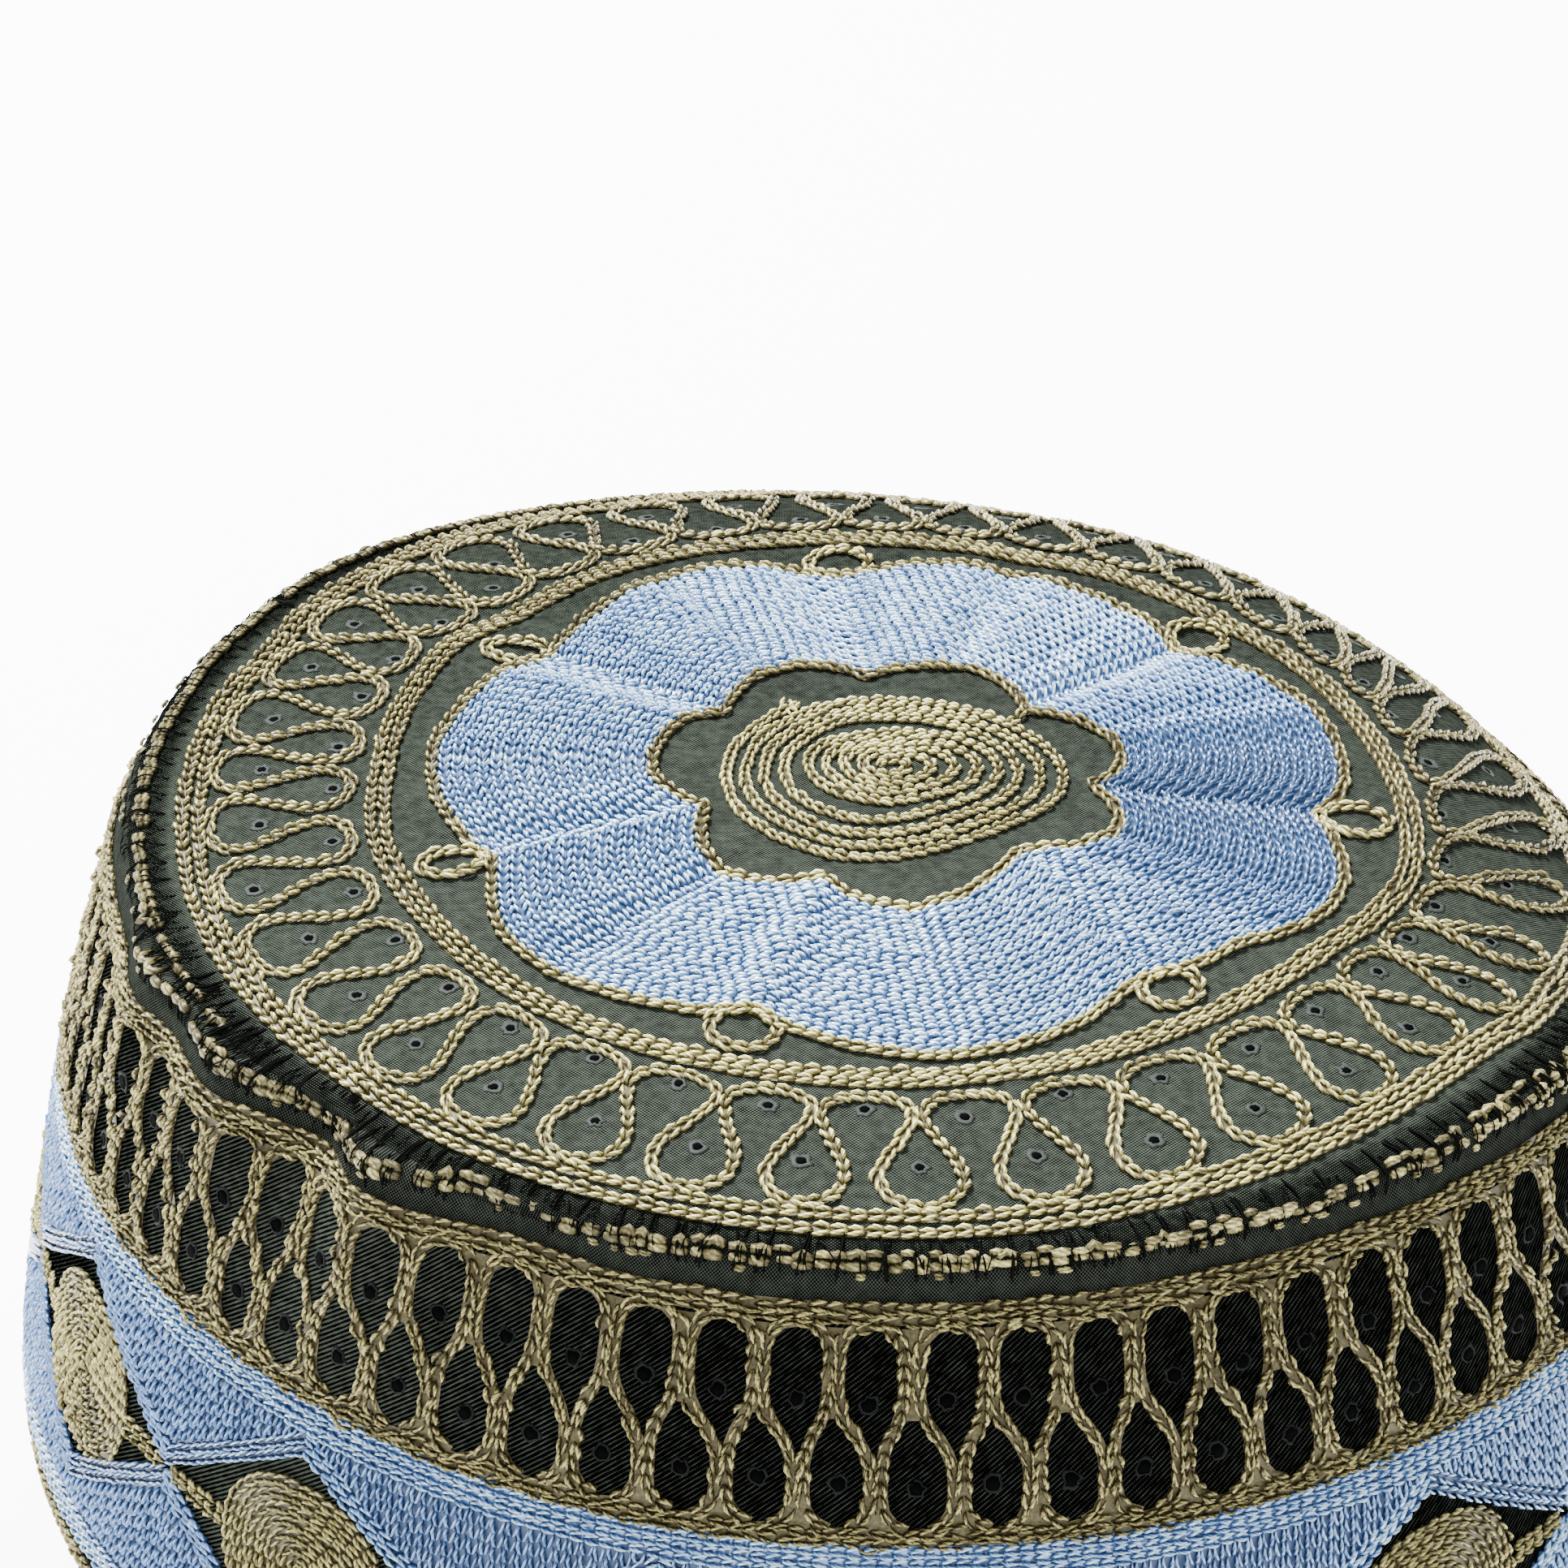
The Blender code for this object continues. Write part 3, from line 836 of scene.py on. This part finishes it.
def build_flower():
    sewing = Sewing()
    shade = blue_painted_shade(RIGHT_PETAL_SHADE)
    shares = np.linspace(0.01, 0.99, 13)[:, None, None]
    sewing.sheet(lifted(on_crown, inner_outline + (outer_outline - inner_outline) * shares))
    for row in range(FLOWER_ROWS):
        share = (row + 1.0) / (FLOWER_ROWS + 1)
        path = inner_outline + (outer_outline - inner_outline) * share
        sewing.chain(path[::-1], on_crown, pitch=1.6, width=1.5, closed=True, loose=0.8,
                     painted_shade=shade)
    sewing.finish("blue_flower", blue_thread, "blue_thread", "flower_field")


def build_flower_outlines():
    sewing = Sewing()
    for edge in (inner_outline, outer_outline):
        sewing.chain(edge[::-1], on_crown, closed=True, lift=0.1, bed=0.35, painted_shade=gold_painted_shade)
    circle = np.linspace(0, 360, 48, endpoint=False)
    for turn, radius, long, wide, lean in NOTCH_LOOPS:
        outward = polar(1.0, turn)
        aside = np.array([-outward[1], outward[0]])
        bow = polar(1.0, circle + 180)
        sideways = bow[:, 1:] * wide + lean * (1 + bow[:, :1]) / 2
        path = polar(radius, turn) + bow[:, :1] * outward * long + sideways * aside
        sewing.chain(path, on_crown, width=1.75, closed=True, lift=0.1, bed=0.35)
    sewing.finish("gold_flower_edges", gold_thread, "gold_thread")


def build_spiral():
    """The middle's spiral, sewn from its outer end, with a loose tail and a bridging stitch."""
    sewing = Sewing()
    turns = np.linspace(0.0, SPIRAL_TURNS, 1200)
    angles = SPIRAL_START + turns * 360
    outer = round_the_cap(SPIRAL_SHAPE, angles)
    inner = round_the_cap(SPIRAL_SHAPE, angles, 2)
    share = np.clip((turns - SPIRAL_OUTER) / (SPIRAL_INNER - SPIRAL_OUTER), 0, 1)
    share = share * share * (3 - 2 * share)
    radius = (SPIRAL_RADIUS - SPIRAL_STEP * turns) * (outer + (inner - outer) * share)
    core = np.array(SPIRAL_CORE)
    sewing.chain(polar(radius, angles) + core, on_crown, pitch=1.5, width=1.48, bed=0.35)
    tail = through([polar(*place) for place in SPIRAL_TAIL], 6)
    sewing.chain(tail, on_crown, pitch=1.4, width=1.5, loose=2.0, lift=0.3)
    bridge = through([polar(*place) for place in SPIRAL_BRIDGE], 6)
    sewing.chain(bridge, on_crown, pitch=1.9, width=1.5, lift=0.2)
    sewing.finish("gold_spiral", gold_thread, "gold_thread", "centre_medallion")


def build_rings():
    inner = Sewing()
    for side in (-0.8, 0.8):
        path = ring_path(INNER_RING_RADIUS + side, INNER_WOBBLE)
        inner.chain(path, on_crown, width=1.48, closed=True, bed=0.4, painted_shade=gold_painted_shade)
    inner.finish("inner_gold_ring", gold_thread, "gold_thread", "inner_ring")
    outer = Sewing()
    for side in (-0.5, 0.5):
        gap = tuple((angle, side * gap) for angle, gap in OUTER_GAP)
        path = ring_path(RING_RADIUS, OUTER_WOBBLE) + ring_path(0.0, gap)
        outer.chain(path, on_crown, width=1.78, closed=True, bed=0.4, painted_shade=gold_painted_shade)
    outer.finish("outer_gold_ring", gold_thread, "gold_thread", "outer_ring")


# Middles of the loop band's inner bulbs
BULBS = (
    7.5, 16.7, 24.2, 31.6, 40.8, 51.6, 61.4, 71.3, 80.7, 90.0, 99.6, 109.0, 118.6, 128.0,
    137.3, 146.1, 155.2, 164.2, 174.2, 182.3, 192.6, 201.9, 212.1, 221.8, 230.8, 240.2,
    249.6, 258.9, 267.9, 277.6, 287.5, 297.5, 308.0, 317.6, 327.0, 333.7, 340.3, 348.6, 357.4,
)
NEXT_BULBS = BULBS[1:] + (BULBS[0] + 360,)
BAND_MIDDLE = 69.75
BAND_SWING = 8.4
USUAL_SPAN = 9.4                # degrees from loop to loop, for which the bows below are given
BAND_LEAN = (
    # angle, how far the outer bulbs lean round
    (8, 14.0), (25, 14.0), (40, 11.0), (52, 7.0), (60, 4.7), (80, 2.0), (95, 0.0), (130, 0.0),
    (200, 0.0), (300, 0.0), (330, 0.5), (338, 3.0), (345, 8.0), (355, 12.0),
)
BAND_BOWS = (
    # angle, sideways bow of the outer bulbs, and of the inner ones
    (10, 1.5, 3.3), (60, 1.5, 3.3), (110, 1.5, 3.3), (150, 2.7, 2.8), (185, 2.5, 2.2),
    (215, 2.3, 2.3), (228, 2.0, 2.6), (240, 1.7, 3.2), (300, 1.5, 3.3), (350, 1.5, 3.3),
)


def band_paths():
    """The meander of loops between the two gold rings, one path for each whole loop."""
    turns = np.radians(np.linspace(-180, 180, 97))
    for start, end in zip(BULBS, NEXT_BULBS):
        span = end - start
        middle = start + span / 2
        outer_bow = round_the_cap(BAND_BOWS, middle)
        inner_bow = round_the_cap(BAND_BOWS, middle, 2)
        bow = outer_bow + (inner_bow - outer_bow) * (1 - np.cos(turns)) / 2
        reach = bow * span / USUAL_SPAN
        angle = middle + span * turns / (2 * pi) + reach * np.sin(2 * turns)
        share = (1 + np.cos(turns)) / 2
        angle = angle + round_the_cap(BAND_LEAN, middle) * share
        radius = BAND_MIDDLE + BAND_SWING * np.cos(turns)
        squeeze = (round_the_cap(INNER_WOBBLE, angle) * (1 - share)
                   + round_the_cap(OUTER_WOBBLE, angle) * share)
        yield polar(radius + squeeze * 0.7, angle)


def build_loop_band():
    sewing = Sewing()
    for path in band_paths():
        sewing.chain(path, on_crown, pitch=1.75, width=1.6, bed=0.3, painted_shade=gold_painted_shade)
    sewing.finish("gold_loop_band", gold_thread, "gold_thread")


# Eyelets
EYELET_HOLE = 0.55
EYELET_RIM = 1.15
EYELET_SIDES = 14
EYELET_PROFILE = np.array([
    # share of the way from hole to rim, height
    (0.0, 0.08), (0.15, 0.14), (0.5, 0.10), (1.0, 0.03), (0.6, -0.25), (0.0, -0.25),
])
PLUG_TOP = 0.06                 # height of the dark discs in the holes, painted shade for their insides
PLUG_BOTTOM = -0.3
INNER_EYELET = 63.8             # radius of the top's eyelets inside the loops, and between them
OUTER_EYELET = 72.1


def add_eyelets(name, centres, surface, material, hole=EYELET_HOLE, rim=EYELET_RIM):
    """Low rings of melted cloth as one piece, and as another the dark discs in their holes,
    painted shade for the holes' insides.
    """
    turns = np.arange(EYELET_SIDES) * 2 * pi / EYELET_SIDES
    share, height = EYELET_PROFILE[:, :1], EYELET_PROFILE[:, 1:]
    rings, plugs = [], []
    for centre in centres:
        place, normal = (values[0] for values in surface(np.array([centre])))
        first = np.cross(normal, (0.0, 0.3, 1.0) if abs(normal[2]) < 0.7 else (0.0, 1.0, 0.0))
        first /= np.linalg.norm(first)
        second = np.cross(normal, first)
        uneven = rng.normal(1, 0.16, EYELET_SIDES)
        ragged = np.where(share > 0.05, uneven, 1 + (uneven - 1) * 0.5)
        radius = (hole + (rim - hole) * share) * ragged
        lift = height * rng.normal(1, 0.2, (1, EYELET_SIDES))
        directions = np.cos(turns)[:, None] * first + np.sin(turns)[:, None] * second
        rings.append(place + radius[..., None] * directions + lift[..., None] * normal)
        top, bottom = place + PLUG_TOP * normal, place + PLUG_BOTTOM * normal
        edge = hole * 1.1 * directions
        plugs.append(np.concatenate([top + edge, bottom + edge, [top, bottom]]))
    rows = len(EYELET_PROFILE)
    for ending, parts, faces, paint in (
            ("_rims", rings, ring_faces(rows, EYELET_SIDES), material),
            ("_holes", plugs, capped_faces(2, EYELET_SIDES), hole_dark)):
        points = np.array(parts).reshape(len(centres), -1, 3)
        faces = repeated(faces, points.shape[1], len(centres))
        add_piece(name + ending, points.reshape(-1, 3), faces, paint, "black_cloth")


def build_crown_eyelets():
    centres = []
    for start, end in zip(BULBS, NEXT_BULBS):
        middle = (start + end) / 2
        lean = round_the_cap(BAND_LEAN, middle)
        for radius, turn in (
                (INNER_EYELET, start + lean * 0.12), (OUTER_EYELET, middle + lean * 0.75)):
            centres.append(polar(rng.normal(radius, 0.6), rng.normal(turn, 0.3)))
    add_eyelets("crown_eyelet", centres, on_crown, eyelet_rim)


# The seam between the top and the wall
RADIUS_PER_DEGREE = 1.51        # millimetres along the seam in one degree
SEAM_ROW = (
    # angle, distance out from the outer gold ring
    (0, 5.6), (60, 5.4), (120, 4.9), (150, 4.4), (185, 4.5), (200, 5.1), (213, 5.7), (222, 6.8),
    (226, 7.2), (231, 6.9), (236, 6.1), (242, 5.7), (248, 6.0), (256, 5.7), (280, 5.7), (330, 5.7),
)
# Stretches of the seam, from angle to angle
DULL_LUMPS = (130, 262)
KNOTS = (196, 262)
FULL_THREADS = (205, 345)
TUFTS = (
    # angle, spread, threads
    (200.0, 5.0, 16),
    (222.0, 6.0, 14),
    (343.0, 6.0, 40),
)


def add_lump(sewing, angle, out, wide, tall):
    """One lump of the seam's row: two short fat strands along the seam, one above the other."""
    reach = np.array([-0.5, -0.34, 0.0, 0.34, 0.5]) * wide
    bulge = np.array([0.0, 0.75, 1.0, 0.75, 0.0])
    tone = rng.uniform(-0.9, 0.5) - 0.6 * (DULL_LUMPS[0] < angle < DULL_LUMPS[1])
    for hand in (-1, 1):
        aside = hand * tall * 0.22 * (0.3 + bulge * 0.7)
        turn = angle + (reach + rng.normal(0, 0.12)) / RADIUS_PER_DEGREE
        points, normals = on_edge(np.stack([turn, out + aside], -1))
        middle = points + normals * (0.1 + 0.3 * bulge[:, None])
        thick = tall * 0.30 * (0.5 + bulge * 0.5)
        sewing.strands(middle[None], normals[None], thick[None], thick[None] * 0.9,
                       np.array([tone + rng.uniform(-0.3, 0.3)]), sides=5)


def build_seam_cord():
    """A lumpy gold row caught in the seam, with bits of another under it."""
    sewing = Sewing()
    angle = 0.0
    while angle < 359.0:
        knot = KNOTS[0] < angle < KNOTS[1]
        wide = rng.uniform(1.7, 2.5) if knot else rng.uniform(1.4, 2.6)
        out = rng.normal(round_the_cap(SEAM_ROW, angle) + 0.25, 0.15)
        if rng.uniform() < 0.95:
            add_lump(sewing, angle, out, wide, rng.uniform(1.4, 1.9) + 0.3 * knot)
        if rng.uniform() < 0.28:
            add_lump(sewing, angle + 0.3, out + 1.35, rng.uniform(0.9, 1.8), rng.uniform(0.6, 0.9))
        angle += (wide + rng.uniform(-0.6, 0.0) + 0.2 * knot) / RADIUS_PER_DEGREE
    sewing.finish("seam_yarn", leaf_gold, "gold_thread", "seam_cord")


def add_overlock_thread(sewing, angle, swing, top_reach, low_reach, thickness):
    """One black thread from the top's edge over the gold rows and down the wall."""
    row = round_the_cap(SEAM_ROW, angle)
    between = (top_reach + row - 1.4) / 2
    outs = np.array([top_reach, between, row - 1.2, row, row + 1.2, low_reach + row])
    turns = angle + swing * np.array([0.0, 0.05, 0.25, 0.55, 0.85, 1.0])
    lifts = np.array([-0.1, 0.15, 0.4, 0.85, 0.5, -0.1])
    points, normals = on_edge(np.stack([turns, outs], -1))
    path = through(points + normals * lifts[:, None], 2)
    normal = through(normals, 2)
    thick = np.full((1, len(path)), thickness)
    sewing.strands(path[None], normal[None], thick, thick, np.array([0.5]), sides=3)


def build_overlock():
    """Black threads that zigzag over the seam, with tangled tufts in some places."""
    sewing = Sewing()
    angle = 0.0
    while angle < 360.0:
        swing = rng.normal(0.0, 0.5)
        fine = 1.0 if FULL_THREADS[0] < angle < FULL_THREADS[1] else 0.5
        for thickness in (0.19, 0.13):
            add_overlock_thread(
                sewing, rng.normal(angle, 0.16), rng.normal(swing, 0.25), rng.normal(1.7, 0.2),
                rng.normal(2.3, 0.3), fine * rng.normal(thickness, 0.02))
        for _ in range(2):
            add_overlock_thread(
                sewing, angle + rng.uniform(0.3, 2.0), rng.normal(0, 0.8), rng.uniform(2.0, 4.2),
                rng.normal(1.6, 0.4), fine * rng.uniform(0.08, 0.13))
        angle += rng.uniform(1.8, 2.7)
    for centre, spread, count in TUFTS:
        for _ in range(count):
            add_overlock_thread(
                sewing, rng.normal(centre, spread), rng.normal(0, 1.6), rng.uniform(1.5, 3.5),
                rng.uniform(1.8, 2.8), rng.uniform(0.05, 0.10))
    sewing.finish("overlock_threads", black_thread, "black_cloth")


# The wall's pattern
LATTICE_PHASE = 4.2
LATTICE_STEP = 5.0
LATTICE_COUNT = 72
LATTICE_TONE = 1.1
LATTICE_BAND = (10.1, 11.4, 12.5)
# One loop of the lattice, from its lower left up over its oval and down again on the right
LOOP_LEFT = (
    # angle from the loop's left side, distance down
    (1.2, 35.1), (2.2, 34.1), (2.6, 32.4), (2.65, 30.0), (2.55, 27.9), (1.9, 25.4), (0.8, 22.8),
    (0.38, 20.4), (0.35, 17.5), (0.45, 14.7), (1.25, 12.9),
)
LOOP_TOP = 12.4
LOOP_RIGHT = (
    # angle from the loop's right side, distance down
    (1.25, 12.9), (0.45, 14.7), (0.35, 17.5), (0.38, 20.4), (0.65, 22.8), (1.4, 25.4), (1.7, 27.9),
    (1.65, 30.0), (1.6, 32.4), (1.1, 34.1), (0.0, 35.1),
)
LATTICE_TOP_ROWS = (10.7, 11.9)
LATTICE_LOW_ROWS = (35.5, 36.5)
UPPER_EYELET = 20.7
LOWER_EYELET = 30.1
BLUE_ROWS = (37.6, 38.9, 40.2)
LOW_BLUE_ROWS = (76.6, 78.0, 79.4)
HEM_ROWS = (82.4, 83.9)
DIAMOND_PHASE = 24.8
DIAMOND_COUNT = 14
DIAMOND_PERIOD = 360 / DIAMOND_COUNT
DIAMOND_TOP = 43.6
DIAMOND_MIDDLE = 56.8
DIAMOND_BOTTOM = 70.0
BED_TOP = 37.0                  # the thread between the rows reaches from here
BED_BOTTOM = 80.0
BED_MARGIN = 0.6                # from a diamond's edge to that thread
BED_COLUMNS = 24 * DIAMOND_COUNT
FILL_TOP = 40.6
FILL_BOTTOM = 75.2
FILL_MARGIN = 3.2
FILL_COLUMNS = 30 * DIAMOND_COUNT
EDGE_ROWS = (0.8, 2.25)         # how far out from a diamond's edge its two rows are
LEAF_WIDTH = 12.0
LEAF_TALL = 10.4
LEAF_DOWN = 57.4
LEAF_SHIFT = 0.4                # degrees from the diamond's middle
LEAF_ROWS = 7
LEAF_ROUND = 0.9                # below 1 makes the ovals a little square
DEGREES_PER_MM = 360 / (2 * pi * 97.6)


def level_path(down, waves=0, swing=0.0, shift=0.0, steps=720):
    """A level row round the wall, which may rise and fall a little."""
    angles = np.linspace(0.0, 360.0, steps, endpoint=False)
    return np.stack([angles, down + swing * np.sin(np.radians(angles) * waves + shift)], -1)


def sew_levels(sewing, downs, pitch, **style):
    """Rows of fine chain stitch round the wall."""
    for down in downs:
        path = level_path(down)
        sewing.chain(path, on_wall, pitch, width=1.4, sides=3, closed=True, loose=0.8, **style)


def build_lattice():
    """Gold chain between two rows of ovals, under double rows along the top."""
    sewing = Sewing()
    bedding = dict(bed_tone=LATTICE_TONE, sides=3)
    band = [level_path(down, steps=360) for down in LATTICE_BAND]
    sewing.sheet(lifted(on_wall, np.stack(band)), True, LATTICE_TONE)
    for down in LATTICE_TOP_ROWS:
        path = level_path(down, 31, 0.15, down)
        sewing.chain(path, on_wall, pitch=1.8, width=1.6, sides=3, closed=True, loose=1.5,
                     plump=1.15)
    for i in range(LATTICE_COUNT):
        eyelet = rng.normal(LATTICE_PHASE + i * LATTICE_STEP, 0.10)
        left = eyelet - LATTICE_STEP / 2
        right = eyelet + LATTICE_STEP / 2
        rising = [(left + away, down) for away, down in LOOP_LEFT]
        falling = [(right - away, down) for away, down in LOOP_RIGHT]
        path = np.array(rising + [(eyelet, LOOP_TOP)] + falling)
        stem = np.stack([path[:5], path[:-6:-1]])
        column = np.stack([path[16:11:-1], path[6:11] + (LATTICE_STEP, 0.0)])
        for patch in (stem, column):
            sewing.sheet(lifted(on_wall, patch), False, LATTICE_TONE)
        path = through(path, 4)
        path[:, 0] += rng.normal(0, 0.05)
        sewing.chain(path, on_wall, pitch=1.65, width=1.5, loose=1.9, plump=1.25, bed=0.44,
                     **bedding)
    for down in LATTICE_LOW_ROWS:
        path = level_path(down, 72, 0.25, down * 3)
        sewing.chain(path, on_wall, pitch=1.7, width=1.4, closed=True, loose=1.8, bed=0.5,
                     **bedding)
    sewing.finish("gold_lattice", side_gold, "gold_thread")


def build_lattice_eyelets():
    centres = []
    for i in range(LATTICE_COUNT):
        upper = LATTICE_PHASE + i * LATTICE_STEP
        lower = upper + LATTICE_STEP / 2 + 0.4
        for turn, down in ((upper, UPPER_EYELET), (lower, LOWER_EYELET)):
            centres.append((rng.normal(turn, 0.1), rng.normal(down, 0.15)))
    add_eyelets("wall_eyelet", centres, on_wall, wall_rim, 0.80, 1.10)


def build_blue_rows():
    sewing = Sewing()
    sew_levels(sewing, BLUE_ROWS, 1.65, plump=1.15, bed=0.5, bed_tone=1.2)
    sew_levels(sewing, LOW_BLUE_ROWS, 1.65)
    sewing.finish("blue_rows", blue_thread, "blue_thread")


def diamond_edges(turn, margin):
    """How far down the diamonds' upper and lower edges are, moved outward by a margin."""
    period = DIAMOND_PERIOD
    share = np.abs((turn - DIAMOND_PHASE + period / 2) % period - period / 2) / (period / 2)
    upper = DIAMOND_TOP + (DIAMOND_MIDDLE - DIAMOND_TOP) * share - margin
    lower = DIAMOND_BOTTOM + (DIAMOND_MIDDLE - DIAMOND_BOTTOM) * share + margin
    return upper, lower


def build_blue_fill():
    """Columns of blue chain above and below the diamonds, on a bed of thread."""
    upper = Sewing()
    lower = Sewing()
    shade = blue_painted_shade(LEFT_WALL_SHADE)
    turns = DIAMOND_PHASE + np.arange(BED_COLUMNS) * 360 / BED_COLUMNS
    top_edge, low_edge = diamond_edges(turns, BED_MARGIN)
    steps = np.linspace(0, 1, 8)[:, None]
    around = np.broadcast_to(turns, (8, len(turns)))
    for sewing, start, end in ((upper, BED_TOP, top_edge), (lower, low_edge, BED_BOTTOM)):
        sewing.sheet(lifted(on_wall, np.stack([around, start + (end - start) * steps], -1)))
    for column in range(FILL_COLUMNS):
        turn = DIAMOND_PHASE + (column + 0.5) * 360 / FILL_COLUMNS
        top_edge, low_edge = diamond_edges(turn, FILL_MARGIN)
        for sewing, start, end in ((upper, top_edge, FILL_TOP), (lower, FILL_BOTTOM, low_edge)):
            if start - end > 1.0:
                path = through([(turn, start), (turn, (start + end) / 2), (turn, end)], 6)
                sewing.chain(path, on_wall, pitch=1.75, width=1.46, sides=3, loose=0.9,
                             painted_shade=shade)
    upper.finish("blue_fill_upper", side_blue, "blue_thread")
    lower.finish("blue_fill_lower", side_blue, "blue_thread")


def build_diamond_edges():
    sewing = Sewing()
    shade = blue_painted_shade(LEFT_EDGE_SHADE)
    for k in range(DIAMOND_COUNT):
        turns = DIAMOND_PHASE + k * DIAMOND_PERIOD + np.arange(-2, 3) * DIAMOND_PERIOD / 4
        for away in EDGE_ROWS:
            for tip, up in ((DIAMOND_TOP, -1), (DIAMOND_BOTTOM, 1)):
                corner = tip + up * away * 1.15
                side = DIAMOND_MIDDLE + up * away * 0.9
                halfway = (corner + side) / 2
                path = np.stack([turns, (side, halfway, corner, halfway, side)], -1)
                pieces = [np.linspace(a, b, 8, endpoint=False) for a, b in zip(path, path[1:])]
                path = np.concatenate(pieces + [path[-1:]])
                sewing.chain(path, on_wall, pitch=1.6, width=1.45, sides=3, loose=0.8, lift=0.05,
                             plump=1.15, painted_shade=shade)
    sewing.finish("blue_diamond_edges", blue_thread, "blue_thread")


def build_leaves():
    """Each diamond's gold oval of chain rows one inside another, and its side lines."""
    circle = np.radians(np.arange(0, 360, 4))
    bow = np.sign(np.cos(circle)) * np.abs(np.cos(circle)) ** LEAF_ROUND
    rise = np.sign(np.sin(circle)) * np.abs(np.sin(circle)) ** LEAF_ROUND
    reach = LEAF_WIDTH * DEGREES_PER_MM
    for k in range(DIAMOND_COUNT):
        diamond = DIAMOND_PHASE + k * DIAMOND_PERIOD
        centre = diamond + LEAF_SHIFT
        sewing = Sewing()
        rim = np.stack([centre - bow * reach, LEAF_DOWN + rise * LEAF_TALL], -1)
        heart = np.array([centre, LEAF_DOWN])
        spread = np.linspace(0.05, 0.95, 6)[:, None, None]
        sewing.sheet(lifted(on_wall, heart + (rim - heart) * spread))
        for row in range(LEAF_ROWS):
            share = 1 - (row + 0.5) / LEAF_ROWS
            downs = LEAF_DOWN + rise * LEAF_TALL * share
            path = np.stack([centre + bow * reach * share, downs], -1)
            sewing.chain(path, on_wall, pitch=1.75, width=1.5, sides=3, closed=True)
        for side in (-1, 1):
            tip = diamond + side * (DIAMOND_PERIOD / 2 - 0.4)
            for down in (-0.7, 0.7):
                near = (centre + side * reach, DIAMOND_MIDDLE + 0.5 + down)
                far = (tip, DIAMOND_MIDDLE + 0.2 + down * 0.7)
                path = np.linspace(near, far, 12)
                sewing.chain(path, on_wall, pitch=1.7, width=1.3, sides=3)
        number = f"{k + 1:02d}"
        sewing.finish("gold_leaf_" + number, leaf_gold, "gold_thread", "leaf_medallion_" + number)


def build_hem_rows():
    sewing = Sewing()
    sew_levels(sewing, HEM_ROWS, 1.8)
    sewing.finish("gold_hem_rows", side_gold, "gold_thread")


# Studio
def build_floor():
    """A white floor that glows more behind the cap, so that it meets the white background."""
    bpy.ops.mesh.primitive_plane_add(size=6.0, location=(0, 0, -0.0003))
    floor = bpy.context.active_object
    floor.name = "studio_floor"
    nodes = Nodes("studio_white")
    set_inputs(nodes.shader, Base_Color=(0.93, 0.93, 0.93, 1.0), Roughness=0.9)
    set_inputs(nodes.shader, Emission_Color=(1.0, 1.0, 1.0, 1.0))
    glow = nodes.new("ShaderNodeMapRange", From_Min=-0.30, From_Max=0.05, To_Min=0.8, To_Max=5.5)
    nodes.link(nodes.split(nodes.place())["Y"], glow.inputs["Value"])
    nodes.link(glow.outputs[0], nodes.shader.inputs["Emission Strength"])
    floor.data.materials.append(nodes.material)


def add_area(name, place, target, size, power):
    light = bpy.data.lights.new(name, "AREA")
    light.shape = "RECTANGLE"
    light.size, light.size_y = size
    light.energy = power
    lamp = add_object(name, light)
    lamp.location = place
    lamp.rotation_euler = (Vector(target) - Vector(place)).to_track_quat("-Z", "Y").to_euler()


def build_lights():
    add_area("key_softbox", (-0.65, 0.75, 1.5), (0, 0, 0.08), (0.6, 0.5), 205.0)
    add_area("front_fill", (0.1, -1.6, 1.3), (0, 0, 0.06), (1.2, 0.9), 40.0)
    world = bpy.data.worlds.new("studio")
    bpy.context.scene.world = world
    world.use_nodes = True
    set_inputs(world.node_tree.nodes["Background"], Color=(1.0, 1.0, 1.0, 1.0), Strength=0.85)


def build_camera():
    data = bpy.data.cameras.new("photo_camera")
    data.lens = CAMERA_LENS
    data.sensor_width = CAMERA_SENSOR
    data.clip_start = 0.01
    camera = add_object("photo_camera", data)
    camera.location = Vector(CAMERA_PLACE) * MM
    camera.rotation_euler = Euler([radians(turn) for turn in CAMERA_TURN])
    bpy.context.scene.camera = camera


build_camera()
build_floor()
build_lights()
build_crown_cloth()
build_wall_cloth()
build_flower()
build_flower_outlines()
build_spiral()
build_rings()
build_loop_band()
build_crown_eyelets()
build_seam_cord()
build_overlock()
build_lattice()
build_lattice_eyelets()
build_blue_rows()
build_blue_fill()
build_diamond_edges()
build_leaves()
build_hem_rows()
